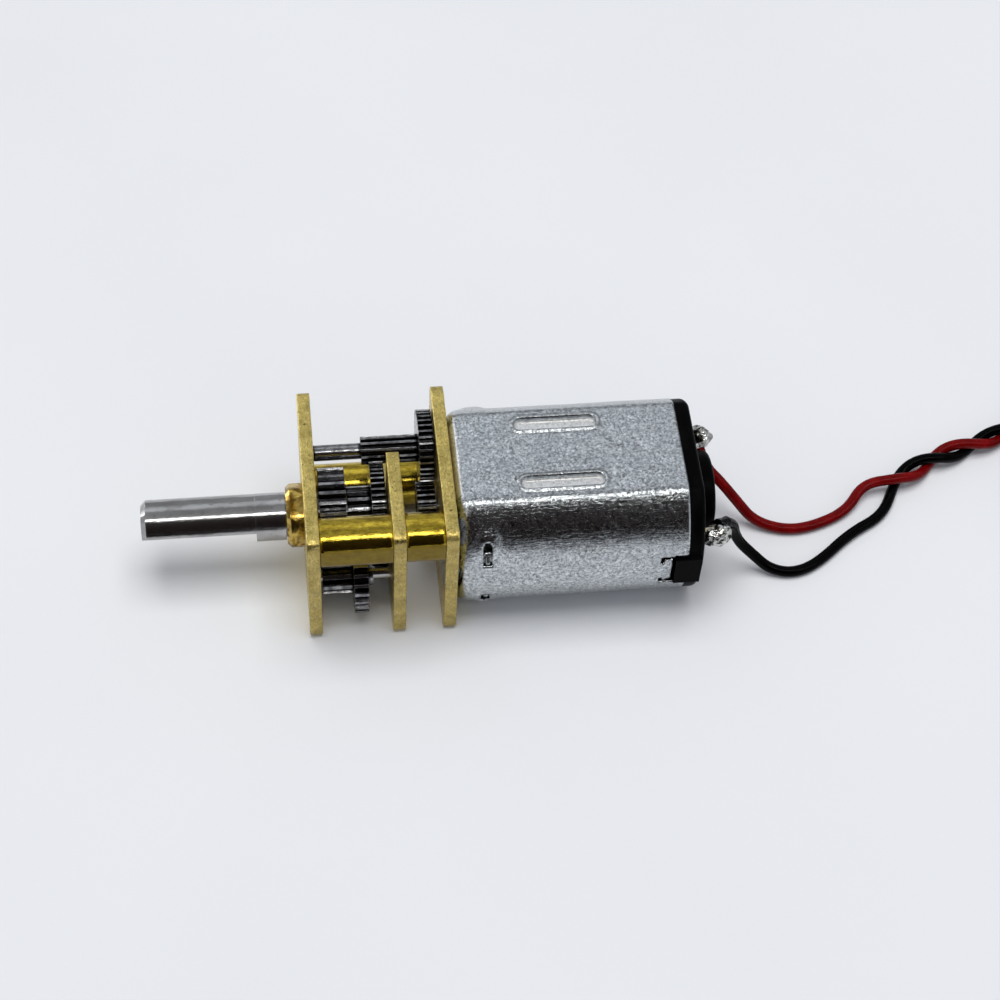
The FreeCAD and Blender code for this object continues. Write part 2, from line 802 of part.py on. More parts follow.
def add_slot(sketch, side):
    """One pressed groove with round ends, its length along the sketch's y."""
    half_wide = SIZES["slot_width"] / 2
    half_long = (SIZES["slot_length"] - SIZES["slot_width"]) / 2
    across = side * SIZES["slot_across"]
    ends = []
    for sign in (1, -1):
        centre = Vector(across, SIZES["slot_centre"] + sign * half_long, 0)
        circle = Part.Circle(centre, Vector(0, 0, 1), half_wide)
        first = 0 if sign > 0 else math.pi
        ends.append(sketch.addGeometry(Part.ArcOfCircle(circle, first, first + math.pi), False))
    walls = []
    for sign in (-1, 1):
        high = Vector(across + sign * half_wide, SIZES["slot_centre"] + half_long, 0)
        low = Vector(across + sign * half_wide, SIZES["slot_centre"] - half_long, 0)
        corners = (high, low) if sign < 0 else (low, high)
        walls.append(sketch.addGeometry(Part.LineSegment(*corners), False))
    far, near = ends
    left, right = walls
    for one, other in ((far, left), (left, near), (near, right), (right, far)):
        sketch.addConstraint(Sketcher.Constraint("Tangent", one, 2, other, 1))
    sketch.addConstraint(Sketcher.Constraint("Equal", far, near))
    bind(sketch, "Diameter", far, to=size("slot_width"), at_first=2 * half_wide)
    straight = f"({size('slot_length')} - {size('slot_width')}) / 2"
    for arc, sign in ((far, 1), (near, -1)):
        centre = (across, SIZES["slot_centre"] + sign * half_long)
        places = (f"{side} * {size('slot_across')}", f"{size('slot_centre')} + {sign} * {straight}")
        for kind, number, place in zip(("DistanceX", "DistanceY"), centre, places):
            bind(sketch, kind, -1, 1, arc, 3, to=place, at_first=number)


# Two pressed grooves with round ends on each flat.
for level, sign in (("top", 1), ("bottom", -1)):
    slots = can.newObject("Sketcher::SketchObject", f"can_{level}_slots")
    slots.AttachmentSupport = (origin_plane(can, "XZ_Plane"), "")
    slots.MapMode = "FlatFace"
    # The plane's normal is local -y, so the top flat lies at a negative offset.
    slots.setExpression("AttachmentOffset.Base.z", f"{-sign} * {size('can_height')} / 2")
    for side_sign in (1, -1):
        add_slot(slots, side_sign)
    slot_cut = pocket(can, slots, size("slot_depth"))
    slot_cut.Reversed = sign > 0


# ------------------------------------------------------------------ bearings, armature


def bearing(label, start, end):
    """A sleeve bearing for the motor's shaft."""
    body = new_body(label)
    disc(body, "blank", size("bearing_diameter"), size(start), size(end))
    bore(body, "hole", f"{size('motor_shaft_diameter')} + {size('running_gap')}", size(start))


bearing("front_bearing", "boss_start", "front_bearing_end")
bearing("rear_bearing", "cap_cavity_end", "rear_bearing_end")

armature_rod = plain_cylinder(
    "armature_rod", size("motor_shaft_diameter"), size("motor_shaft_start"), size("motor_shaft_end")
)
keep(armature_rod, "motor_shaft")


def make_magnets():
    """Two arc magnets against the can's round sides."""
    outer = plain_cylinder("magnet_outer", size("magnet_outer"), size("magnet_start"), size("magnet_end"))
    inner = plain_cylinder("magnet_inner", size("magnet_inner"), size("magnet_start"), size("magnet_end"))
    ring = combine("Cut", "magnet_ring", outer, inner)
    half_high = f"{size('magnet_height')} / 2"
    half_gap = f"{size('magnet_gap')} / 2"
    reach = f"{size('magnet_outer')} / 2 + 1"
    sides = []
    for name, span in (("far", (half_gap, reach)), ("near", (f"-({reach})", f"-{half_gap}"))):
        window_box = plain_box(
            f"magnet_{name}_box",
            (size("magnet_start"), size("magnet_end")),
            span,
            (f"-{half_high}", half_high),
        )
        sides.append(combine("Common", f"magnet_{name}", ring, window_box))
    keep(combine("Compound", "magnet_pair", *sides), "magnets")


make_magnets()

POLES = 3
POLE_TURN = 360.0 / POLES
core = new_body("armature_core")
disc(core, "blank", size("core_diameter"), size("core_start"), size("core_end"))
bore(core, "hole", size("motor_shaft_diameter"), size("core_start"))
slot = new_sketch(core, "winding_slot", size("core_start"))
# One winding slot, opening outwards on local +x between two poles, as half of its outline.
slot_half = [(3.6, 0.3), (2.6, 0.3), (2.35, 1.1), (1.68, 1.9), (1.05, 0.82)]
outline = slot_half + [(along, -across) for along, across in reversed(slot_half)]
add_polygon(slot, [(str(along), str(across)) for along, across in outline])
pattern(core, pocket(core, slot), POLES)


def make_windings():
    """One coil round each of the core's poles, which lie between its slots."""
    coils = []
    width = SIZES["winding_width"]
    thickness = SIZES["winding_thickness"]
    arm_width = SIZES["pole_arm_width"]
    start = Vector(SIZES["winding_start"], SIZES["winding_inner"], -width / 2)
    arm_start = Vector(SIZES["core_start"], 0, -arm_width / 2)
    for pole in range(POLES):
        block = Part.makeBox(SIZES["winding_end"] - start.x, thickness, width, start)
        arm = Part.makeBox(
            SIZES["core_end"] - arm_start.x, SIZES["core_diameter"] / 2, arm_width, arm_start
        )
        coil = block.cut(arm)
        coil.rotate(Vector(0, 0, 0), Vector(1, 0, 0), POLE_TURN / 2 + pole * POLE_TURN)
        coils.append(coil)
    windings = doc.addObject("Part::Feature", "winding_set")
    windings.Shape = Part.makeCompound(coils)
    keep(windings, "windings")


make_windings()

hub = new_body("commutator_hub")
disc(hub, "blank", size("commutator_hub_diameter"), size("commutator_start"), size("commutator_end"))
bore(hub, "hole", size("motor_shaft_diameter"), size("commutator_start"))


def make_commutator():
    """Three copper segments round the hub, a narrow gap between each two."""
    gap = SIZES["commutator_gap"]
    outer = SIZES["commutator_diameter"] / 2
    length = SIZES["commutator_end"] - SIZES["commutator_start"]
    start = Vector(SIZES["commutator_start"], 0, 0)
    along = Vector(1, 0, 0)
    ring = Part.makeCylinder(outer, length, start, along).cut(
        Part.makeCylinder(SIZES["commutator_hub_diameter"] / 2, length, start, along)
    )
    for index in range(POLES):
        saw = Part.makeBox(length, outer + 1, gap, Vector(start.x, 0, -gap / 2))
        saw.rotate(Vector(0, 0, 0), along, index * POLE_TURN)
        ring = ring.cut(saw)
    segments = doc.addObject("Part::Feature", "commutator_segments")
    segments.Shape = Part.makeCompound(ring.Solids)
    keep(segments, "commutator")


make_commutator()


# ------------------------------------------------------------------ rear cap and terminals


cap = new_body("end_cap")
flange_sketch = new_sketch(cap, "flange", size("can_end"))
add_two_flat(flange_sketch, size("cap_diameter"), size("cap_height"))
flange = pad(cap, flange_sketch, f"{size('cap_end')} - {size('can_end')}")
rounded_flange = dress(cap, "Fillet", flange, lengthwise, size("cap_corner"))
dress(cap, "Fillet", rounded_flange, level_at(SIZES["cap_end"]), size("cap_edge"))
plug_sketch = new_sketch(cap, "plug", size("plug_start"))
add_two_flat(plug_sketch, size("plug_diameter"), size("plug_height"))
pad(cap, plug_sketch, f"{size('can_end')} - {size('plug_start')}")
cap_boss = disc(cap, "boss", size("cap_boss_diameter"), size("cap_boss_start"), size("cap_boss_end"))
dress(cap, "Fillet", cap_boss, level_at(SIZES["cap_boss_end"]), size("cap_edge"))
tabs = new_sketch(cap, "tabs", size("cap_tab_start"))
half_tab = f"{size('cap_tab_width')} / 2"
tab_inner = size("cap_tab_inner")
tab_outer = size("cap_tab_proud")
add_rectangle(tabs, tab_inner, tab_outer, f"-{half_tab}", half_tab)
add_rectangle(tabs, f"-{tab_outer}", f"-{tab_inner}", f"-{half_tab}", half_tab)
pad(cap, tabs, f"{size('cap_tab_end')} - {size('cap_tab_start')}")
bore(
    cap, "cavity", size("cap_cavity_diameter"), size("plug_start"),
    f"{size('cap_cavity_end')} - {size('plug_start')}",
)
bore(
    cap, "bearing_seat", size("bearing_diameter"), size("cap_cavity_end"),
    f"{size('rear_bearing_end')} - {size('cap_cavity_end')}",
)
terminal_slots = new_sketch(cap, "terminal_slots", size("plug_start"))
for sign in ("", "-"):
    centre_across = f"{sign}{size('terminal_across')}"
    add_rectangle(
        terminal_slots,
        f"{centre_across} - {size('terminal_thickness')} / 2",
        f"{centre_across} + {size('terminal_thickness')} / 2",
        f"{size('terminal_up')} - {size('terminal_width')} / 2",
        f"{size('terminal_up')} + {size('terminal_width')} / 2",
    )
pocket(cap, terminal_slots, f"{size('cap_end')} - {size('plug_start')}")

SIDES = {"far": 1, "near": -1}


def beside(side, distance):
    """An expression for a distance from the middle plane, on one side."""
    return f"{SIDES[side]} * ({distance})"


def ordered(side, low, high):
    return (low, high) if SIDES[side] > 0 else (high, low)


def make_terminals():
    tags = []
    for side in SIDES:
        inner = beside(side, f"{size('terminal_across')} - {size('terminal_thickness')} / 2")
        outer = beside(side, f"{size('terminal_across')} + {size('terminal_thickness')} / 2")
        tags.append(
            plain_box(
                f"terminal_{side}",
                (size("terminal_start"), size("terminal_end")),
                ordered(side, inner, outer),
                (
                    f"{size('terminal_up')} - {size('terminal_width')} / 2",
                    f"{size('terminal_up')} + {size('terminal_width')} / 2",
                ),
            )
        )
    keep(combine("Compound", "terminal_pair", *tags), "terminals")


def make_brushes():
    """Flat spring fingers from the terminals to the commutator."""
    fingers = []
    half_thick = f"{size('brush_thickness')} / 2"
    for side in SIDES:
        inner = beside(side, f"{size('commutator_diameter')} / 2 + {size('brush_clearance')}")
        outer = beside(side, f"{size('terminal_across')} - {size('terminal_thickness')} / 2")
        fingers.append(
            plain_box(
                f"brush_{side}",
                (size("brush_start"), size("brush_end")),
                ordered(side, inner, outer),
                (f"-{half_thick}", half_thick),
            )
        )
    keep(combine("Compound", "brush_pair", *fingers), "brushes")


def make_solder():
    drops = []
    for side in SIDES:
        drop = doc.addObject("Part::Sphere", f"solder_{side}")
        drop.setExpression("Radius", f"{size('solder_diameter')} / 2")
        drop.setExpression("Placement.Base.x", size("solder_centre"))
        drop.setExpression("Placement.Base.y", beside(side, size("terminal_across")))
        drop.setExpression("Placement.Base.z", size("terminal_up"))
        drops.append(drop)
    keep(combine("Compound", "solder_pair", *drops), "solder_joints")


make_terminals()
make_brushes()
make_solder()


# ------------------------------------------------------------------ leads

LEAD = SIZES["lead_diameter"]
ON_TABLE = TABLE + LEAD / 2
PAIR_HEIGHT = TABLE + LEAD
CROSSING = (39.2, 2.95)

RED_ROUTE = [
    (25.6, 3.45, -0.1),
    (26.07, 2.83, -1.2),
    (27.03, 2.06, -1.9),
    (28.09, 1.29, -3.03),
    (29.25, 0.59, -4.4),
    (31.16, -0.12, ON_TABLE),
    (33.02, -0.03, ON_TABLE),
    (35.63, 1.04, ON_TABLE),
    (36.95, 2.8, -4.1),
    (*CROSSING, ON_TABLE + 1.03 * LEAD),
]
BLACK_ROUTE = [
    (25.62, -3.5, 1.0),
    (26.81, -2.44, 0.19),
    (27.3, -2.3, -2.14),
    (28.6, -2.66, -3.61),
    (29.69, -3.2, -4.53),
    (31.2, -3.57, ON_TABLE),
    (32.93, -2.93, ON_TABLE),
    (35.51, -0.7, ON_TABLE),
    (37.96, 0.54, ON_TABLE),
    (*CROSSING, ON_TABLE),
]
PAIR_ROUTE = [
    (*CROSSING, PAIR_HEIGHT),
    (42.0, 4.75, PAIR_HEIGHT),
    (45.2, 5.6, PAIR_HEIGHT),
    (48.4, 6.95, PAIR_HEIGHT),
    (51.2, 8.55, PAIR_HEIGHT),
]
COIL_CENTRE = (SIZES["coil_centre_along"], SIZES["coil_centre_across"])


def in_coil(radius, degrees, height):
    """A point inside the coil, from its centre."""
    angle = math.radians(degrees)
    return (
        COIL_CENTRE[0] + radius * math.cos(angle),
        COIL_CENTRE[1] + radius * math.sin(angle),
        height,
    )


RED_TAIL = [in_coil(4.8, 20, ON_TABLE), in_coil(3.3, -22, ON_TABLE), in_coil(2.2, -95, ON_TABLE)]
BLACK_TAIL = [in_coil(4.8, 42, ON_TABLE), in_coil(2.4, 10, ON_TABLE), in_coil(0.9, -120, ON_TABLE)]


def tube_along(label, points, diameter):
    """A tube on straight runs joined by tangent arcs, each as large as its runs allow."""
    points = [Vector(*point) for point in points]
    edges = []
    start = points[0]
    radii = []
    for before, corner, after in zip(points, points[1:], points[2:]):
        arriving = (corner - before).normalize()
        leaving = (after - corner).normalize()
        half_turn = arriving.getAngle(leaving) / 2
        setback = 0.45 * min(corner.distanceToPoint(before), corner.distanceToPoint(after))
        bend = setback / math.tan(half_turn)
        radii.append(round(bend, 2))
        first = corner - arriving * setback
        last = corner + leaving * setback
        inward = (leaving - arriving).normalize()
        middle = corner + inward * (bend / math.cos(half_turn) - bend)
        edges.append(Part.LineSegment(start, first).toShape())
        edges.append(Part.Arc(first, middle, last).toShape())
        start = last
    edges.append(Part.LineSegment(start, points[-1]).toShape())
    path = Part.Wire(edges)
    heading = (points[1] - points[0]).normalize()
    ring = Part.Wire([Part.makeCircle(diameter / 2, points[0], heading)])
    solid = path.makePipeShell([ring], True, False)
    expected = math.pi * diameter**2 / 4 * path.Length
    share = solid.Volume / expected
    print(f"{label}: length {path.Length:.1f}, radii {radii}, volume share {share:.4f}")
    tube = doc.addObject("Part::Feature", f"{label}_tube")
    tube.Shape = solid
    keep(tube, label)


tube_along("red_lead", RED_ROUTE, LEAD)
tube_along("black_lead", BLACK_ROUTE, LEAD)
tube_along("lead_pair", PAIR_ROUTE, 2 * LEAD)


def make_coil():
    """The outer shape of the coiled pair: a flat ring, its section a round-cornered strip."""
    body = doc.addObject("PartDesign::Body", "coil_ring")
    body.setExpression("Placement.Base.x", size("coil_centre_along"))
    body.setExpression("Placement.Base.y", size("coil_centre_across"))
    body.setExpression("Placement.Base.z", f"-{size('plate_height')} / 2")
    sketch = new_sketch(body, "section")
    add_circle(sketch, f"2 * {size('coil_outer_radius')}")
    add_circle(sketch, f"2 * {size('coil_inner_radius')}")
    ring = pad(body, sketch, f"2 * {size('lead_diameter')}")
    dress(body, "Fillet", ring, is_level, size("coil_edge"))
    keep(body, "lead_coil")


make_coil()


def make_tail(colour, points):
    """The lead's free end inside the coil, with its stripped and tinned tip."""
    tube_along(f"{colour}_tail", points, LEAD)
    end = Vector(*points[-1])
    heading = (end - Vector(*points[-2])).normalize()
    tip = doc.addObject("Part::Feature", f"{colour}_tip_wire")
    tip.Shape = Part.makeCylinder(
        SIZES["lead_core_diameter"] / 2, SIZES["lead_bare_length"], end, heading
    )
    keep(tip, f"{colour}_tip")


make_tail("red", RED_TAIL)
make_tail("black", BLACK_TAIL)


# ------------------------------------------------------------------ checks and export


def check_model():
    """Stop if anything failed to compute or a cut removed nothing."""
    doc.recompute()
    for item in doc.Objects:
        if {"Invalid", "Error"} & set(item.State):
            raise RuntimeError(f"{item.Label}: {item.State}")
    for cut in cuts:
        before = cut.BaseFeature.Shape.Volume
        if cut.Shape.Volume > before - 1e-5:
            raise RuntimeError(f"{cut.Label} cuts nothing")
    for node in nodes:
        if node.Shape.isNull() or not node.Shape.isValid():
            raise RuntimeError(f"{node.Label} has no valid shape")


check_model()
os.makedirs("parts", exist_ok=True)
for node in nodes:
    node.Shape.exportStep(f"parts/{node.Label}.step")
    box = node.Shape.BoundBox
    print(
        f"{node.Label:20s} solids {len(node.Shape.Solids)}  volume {node.Shape.Volume:8.3f}  "
        f"X {box.XMin:6.2f} {box.XMax:6.2f}  Y {box.YMin:6.2f} {box.YMax:6.2f}  "
        f"Z {box.ZMin:6.2f} {box.ZMax:6.2f}"
    )
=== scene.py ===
"""Looks for the geared dc motor: camera, leads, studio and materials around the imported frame.

Metres, in the frame of the CAD model: +X runs from the output shaft to the motor's rear cap.
"""

import json
import math

import bmesh
import bpy
from mathutils import Matrix, Vector, noise


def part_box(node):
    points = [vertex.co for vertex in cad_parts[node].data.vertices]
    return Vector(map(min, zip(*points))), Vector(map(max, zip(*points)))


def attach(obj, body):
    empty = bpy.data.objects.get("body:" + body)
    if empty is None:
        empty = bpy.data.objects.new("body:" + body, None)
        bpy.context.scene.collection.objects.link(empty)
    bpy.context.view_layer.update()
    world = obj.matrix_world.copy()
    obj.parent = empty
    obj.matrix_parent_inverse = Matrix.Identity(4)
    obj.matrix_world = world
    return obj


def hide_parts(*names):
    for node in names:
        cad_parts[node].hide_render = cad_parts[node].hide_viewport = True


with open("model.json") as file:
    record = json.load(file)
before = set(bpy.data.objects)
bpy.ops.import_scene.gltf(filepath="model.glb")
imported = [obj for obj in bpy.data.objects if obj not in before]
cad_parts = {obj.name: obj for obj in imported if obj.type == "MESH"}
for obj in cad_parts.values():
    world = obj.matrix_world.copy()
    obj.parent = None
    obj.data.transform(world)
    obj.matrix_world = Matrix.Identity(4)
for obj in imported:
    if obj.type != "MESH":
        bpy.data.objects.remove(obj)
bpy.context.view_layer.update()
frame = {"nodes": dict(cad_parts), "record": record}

scene = bpy.context.scene
scene.view_settings.view_transform = "Standard"

MM = 0.001
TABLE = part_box("front_plate")[0].z

# Unseeded, noise_vector starts from the clock, and the plates' edges differ from run to run.
NOISE_SEED = 1
noise.seed_set(NOISE_SEED)

# ------------------------------------------------------------------ camera

CAMERA_AZIMUTH = math.radians(-9.24)
CAMERA_ELEVATION = math.radians(53.44)
CAMERA_ROLL = math.radians(4.05)
CAMERA_TARGET = Vector((0.01239, 0.00024, 0.0))
CAMERA_DISTANCE = 0.1453
CAMERA_LENS = 83.0
CAMERA_SENSOR = 36.0


def make_camera():
    """The photo's view: from the near side, steeply down, slightly rolled."""
    turn, lift = CAMERA_AZIMUTH, CAMERA_ELEVATION
    back = Vector((math.sin(turn) * math.cos(lift), -math.cos(turn) * math.cos(lift), math.sin(lift)))
    level = Vector((math.cos(turn), math.sin(turn), 0.0))
    upright = back.cross(level)
    right = math.cos(CAMERA_ROLL) * level + math.sin(CAMERA_ROLL) * upright
    up = back.cross(right)
    data = bpy.data.cameras.new("camera")
    data.lens = CAMERA_LENS
    data.sensor_width = CAMERA_SENSOR
    data.clip_start = 0.005
    data.clip_end = 20.0
    camera = bpy.data.objects.new("camera", data)
    place = CAMERA_TARGET + back * CAMERA_DISTANCE
    camera.matrix_world = Matrix(
        (
            (right.x, up.x, back.x, place.x),
            (right.y, up.y, back.y, place.y),
            (right.z, up.z, back.z, place.z),
            (0.0, 0.0, 0.0, 1.0),
        )
    )
    scene.collection.objects.link(camera)
    scene.camera = camera


make_camera()

# ------------------------------------------------------------------ leads

LEAD = 0.0007
ON_TABLE = TABLE + LEAD / 2
PAIR_HEIGHT = TABLE + LEAD
CROSSING = (0.0392, 0.00295)
COIL_CENTRE = Vector((0.0563, 0.0009, 0.0))

RED_ROUTE = [
    (0.0256, 0.00345, -0.0001),
    (0.02607, 0.00283, -0.0012),
    (0.02703, 0.00206, -0.0019),
    (0.02809, 0.00129, -0.00303),
    (0.02925, 0.00059, -0.0044),
    (0.03116, -0.00012, ON_TABLE),
    (0.03302, -0.00003, ON_TABLE),
    (0.03563, 0.00104, ON_TABLE),
    (0.03695, 0.0028, -0.0041),
]
BLACK_ROUTE = [
    (0.02562, -0.0035, 0.0010),
    (0.02681, -0.00244, 0.00019),
    (0.0273, -0.0023, -0.00214),
    (0.0286, -0.00266, -0.00361),
    (0.02969, -0.0032, -0.00453),
    (0.0312, -0.00357, ON_TABLE),
    (0.03293, -0.00293, ON_TABLE),
    (0.03551, -0.0007, ON_TABLE),
    (0.03796, 0.00054, ON_TABLE),
]
PAIR_ROUTE = [
    (*CROSSING, PAIR_HEIGHT),
    (0.0420, 0.00475, PAIR_HEIGHT),
    (0.0452, 0.0056, PAIR_HEIGHT),
    (0.0484, 0.00695, PAIR_HEIGHT),
    (0.0512, 0.00855, PAIR_HEIGHT),
]

COIL_START_ANGLE = math.radians(110.0)
COIL_START_RADIUS = 0.0090
COIL_TURNS = 2.17
COIL_STEP = 0.00145
COIL_POINTS_PER_TURN = 16

TWIST_PITCH = 0.0061
TWIST_UP = 0.00035
TWIST_OPEN_ACROSS = 0.00047
TWIST_SHUT_ACROSS = 0.00036
TWIST_OPEN_LENGTH = 0.010
TWIST_POINTS_PER_TURN = 14


def in_coil(radius, degrees, height):
    """A point inside the coil, from its centre."""
    angle = math.radians(degrees)
    return (
        COIL_CENTRE.x + radius * math.cos(angle),
        COIL_CENTRE.y + radius * math.sin(angle),
        height,
    )


RED_TAIL = [
    in_coil(0.0048, 20, ON_TABLE),
    in_coil(0.0033, -22, ON_TABLE),
    in_coil(0.0022, -95, ON_TABLE),
]
BLACK_TAIL = [
    in_coil(0.0048, 42, ON_TABLE),
    in_coil(0.0024, 10, ON_TABLE),
    in_coil(0.0009, -120, ON_TABLE),
]


def spline_curve(name, points, diameter=0.0):
    """A smooth curve with these control points, round if it has a diameter."""
    data = bpy.data.curves.new(name, "CURVE")
    data.dimensions = "3D"
    data.resolution_u = 6
    data.bevel_depth = diameter / 2
    data.bevel_resolution = 7
    data.use_fill_caps = True
    spline = data.splines.new("NURBS")
    spline.points.add(len(points) - 1)
    for point, place in zip(spline.points, points):
        point.co = (*place, 1.0)
    spline.order_u = 3
    spline.use_endpoint_u = True
    curve = bpy.data.objects.new(name, data)
    scene.collection.objects.link(curve)
    return curve


def line_of(curve):
    """The points along a curve that has no bevel."""
    bpy.context.view_layer.update()
    mesh = bpy.data.meshes.new_from_object(curve)
    points = [vertex.co.copy() for vertex in mesh.vertices]
    bpy.data.meshes.remove(mesh)
    return points


def coil_route():
    """The pair's flat spiral, wound inwards from the end of its run."""
    count = round(COIL_TURNS * COIL_POINTS_PER_TURN)
    points = []
    for index in range(count + 1):
        turned = index / COIL_POINTS_PER_TURN
        angle = COIL_START_ANGLE - turned * 2 * math.pi
        radius = COIL_START_RADIUS - COIL_STEP * turned
        points.append(in_coil(radius, math.degrees(angle), PAIR_HEIGHT))
    return points


def resampled(points, spacing):
    """Even steps along a line of points: places and the distance along of each."""
    steps = [(b - a).length for a, b in zip(points, points[1:])]
    total = sum(steps)
    count = max(2, round(total / spacing))
    wanted = [total * k / count for k in range(count + 1)]
    places = []
    index = 0
    passed = 0.0
    for distance in wanted:
        while index < len(steps) - 1 and passed + steps[index] < distance:
            passed += steps[index]
            index += 1
        share = (distance - passed) / steps[index]
        places.append(points[index].lerp(points[index + 1], min(1.0, share)))
    return places, wanted


def twisted(axis, side):
    """One lead of the pair, wound round the pair's axis; side is 1 for the one on top first."""
    places, distances = resampled(axis, TWIST_PITCH / TWIST_POINTS_PER_TURN)
    half_turns = round((distances[-1] / TWIST_PITCH - 0.25) * 2)
    total_turns = half_turns / 2 + 0.25
    pitch = distances[-1] / total_turns
    points = []
    for index, (place, distance) in enumerate(zip(places, distances)):
        before = places[max(0, index - 1)]
        after = places[min(len(places) - 1, index + 1)]
        along = (after - before).normalized()
        across = Vector((0, 0, 1)).cross(along).normalized()
        shut = min(1.0, distance / TWIST_OPEN_LENGTH)
        width = TWIST_OPEN_ACROSS + (TWIST_SHUT_ACROSS - TWIST_OPEN_ACROSS) * shut
        angle = 2 * math.pi * distance / pitch
        points.append(
            place
            + across * (-side * width * math.sin(angle))
            + Vector((0, 0, side * TWIST_UP * math.cos(angle)))
        )
    return points


pair_axis_curve = spline_curve("pair_axis", PAIR_ROUTE + coil_route())
pair_axis = line_of(pair_axis_curve)
bpy.data.objects.remove(pair_axis_curve)

red_twist = [tuple(p) for p in twisted(pair_axis, 1)]
black_twist = [tuple(p) for p in twisted(pair_axis, -1)]
red_lead = spline_curve("lead_red", RED_ROUTE + red_twist + RED_TAIL, LEAD)
black_lead = spline_curve("lead_black", BLACK_ROUTE + black_twist + BLACK_TAIL, LEAD)


# ------------------------------------------------------------------ material recipes


class Recipe:
    """A material built up one node at a time, in the object's own metres."""

    def __init__(self, name, **sockets):
        self.material = bpy.data.materials.new(name)
        self.material.use_nodes = True
        self.tree = self.material.node_tree
        self.shader = self.tree.nodes["Principled BSDF"]
        self.place = self.tree.nodes.new("ShaderNodeTexCoord").outputs["Object"]
        self.normal = None
        for socket, value in sockets.items():
            self.shader.inputs[socket.replace("_", " ")].default_value = value

    def add(self, kind, inputs, **settings):
        node = self.tree.nodes.new(kind)
        for setting, value in settings.items():
            setattr(node, setting, value)
        for socket, value in inputs.items():
            if isinstance(value, bpy.types.NodeSocket):
                self.tree.links.new(value, node.inputs[socket])
            else:
                node.inputs[socket].default_value = value
        return node

    def where(self, stretch):
        return self.add("ShaderNodeMapping", {"Vector": self.place, "Scale": stretch}).outputs[0]

    def noise(self, size, detail=3.0, stretch=(1, 1, 1), rough=0.5, bend=0.0):
        """Cloudy noise with features about this long, in metres."""
        inputs = {
            "Vector": self.where(stretch),
            "Scale": 1.0 / size,
            "Detail": detail,
            "Roughness": rough,
            "Distortion": bend,
        }
        return self.add("ShaderNodeTexNoise", inputs).outputs["Fac"]

    def cells(self, size, feature="F1"):
        """Distance from the middles of cells about this wide, in metres."""
        inputs = {"Vector": self.where((1, 1, 1)), "Scale": 1.0 / size}
        node = self.add("ShaderNodeTexVoronoi", inputs, feature=feature)
        if feature == "SMOOTH_F1":
            node.inputs["Smoothness"].default_value = 0.3
        return node.outputs["Distance"]

    def spread(self, value, low, high, to_low=0.0, to_high=1.0):
        """The value's range from low to high, moved to another range and held there."""
        inputs = {
            "Value": value, "From Min": low, "From Max": high, "To Min": to_low, "To Max": to_high,
        }
        return self.add("ShaderNodeMapRange", inputs).outputs["Result"]

    def distance(self, axis):
        """How far the place is from the object's middle plane across this axis."""
        along = self.add("ShaderNodeSeparateXYZ", {"Vector": self.place}).outputs[axis]
        return self.add("ShaderNodeMath", {0: along}, operation="ABSOLUTE").outputs[0]

    def sum(self, first, second, operation="ADD"):
        return self.add("ShaderNodeMath", {0: first, 1: second}, operation=operation).outputs[0]

    def mixed(self, share, first, second):
        """A colour that goes from first to second."""
        node = self.tree.nodes.new("ShaderNodeMix")
        node.data_type = "RGBA"
        self.tree.links.new(share, node.inputs[0])
        for socket, value in ((node.inputs[6], first), (node.inputs[7], second)):
            if isinstance(value, bpy.types.NodeSocket):
                self.tree.links.new(value, socket)
            else:
                socket.default_value = (*value, 1.0)
        return node.outputs[2]

    def bump(self, height, depth):
        """Raise the surface by height times depth, in metres."""
        inputs = {"Height": height, "Distance": depth, "Strength": 1.0}
        if self.normal is not None:
            inputs["Normal"] = self.normal
        self.normal = self.add("ShaderNodeBump", inputs).outputs["Normal"]

    def soften(self, radius):
        """Catch the light on sharp edges, as if rounded by this radius."""
        self.normal = self.add("ShaderNodeBevel", {"Radius": radius}, samples=4).outputs["Normal"]

    def done(self, colour=None, roughness=None, **others):
        links = self.tree.links
        for socket, value in (("Base Color", colour), ("Roughness", roughness), *others.items()):
            if value is not None:
                links.new(value, self.shader.inputs[socket.replace("_", " ")])
        if self.normal is not None:
            links.new(self.normal, self.shader.inputs["Normal"])
        return self.material


def plate_brass():
    """Sheet brass, rolled faces and sheared edges with scratches, nicks and dull patches; painted shade
    darkens the side faces.
    """
    r = Recipe("plate_brass", Metallic=1.0)
    cloud = r.noise(0.0011, 5.0, rough=0.65)
    grain = r.noise(0.00022, 4.0, (3.0, 1.0, 1.0), 0.65)
    drag = r.noise(0.00030, 3.0, (1.2, 4.0, 0.5), 0.6, 0.4)
    speck = r.noise(0.00024, 2.0)
    tone = r.mixed(r.spread(cloud, 0.36, 0.64), (0.50, 0.39, 0.11), (0.86, 0.68, 0.22))
    tone = r.mixed(r.spread(grain, 0.44, 0.66, 0.0, 0.75), tone, (0.34, 0.25, 0.07))
    tone = r.mixed(r.spread(drag, 0.58, 0.70, 0.0, 0.6), tone, (0.95, 0.82, 0.42))
    tone = r.mixed(r.spread(speck, 0.66, 0.73, 0.0, 0.85), tone, (0.12, 0.08, 0.02))
    # Painted shade: the faces at the plates' sides, which face sideways, are darkened to stand in for
    # the dim table they reflect.
    tone = r.mixed(r.spread(r.distance("Y"), 0.0059, 0.00595, 0.0, 0.42), tone, (0.20, 0.15, 0.06))
    rough = r.sum(r.spread(cloud, 0.3, 0.7, 0.22, 0.38), r.spread(grain, 0.3, 0.7, -0.05, 0.10))
    r.soften(0.00010)
    r.bump(drag, 0.000022)
    r.bump(grain, 0.000022)
    r.bump(speck, 0.00003)
    r.bump(r.noise(0.0009, 2.0), 0.00008)
    return r.done(tone, rough)


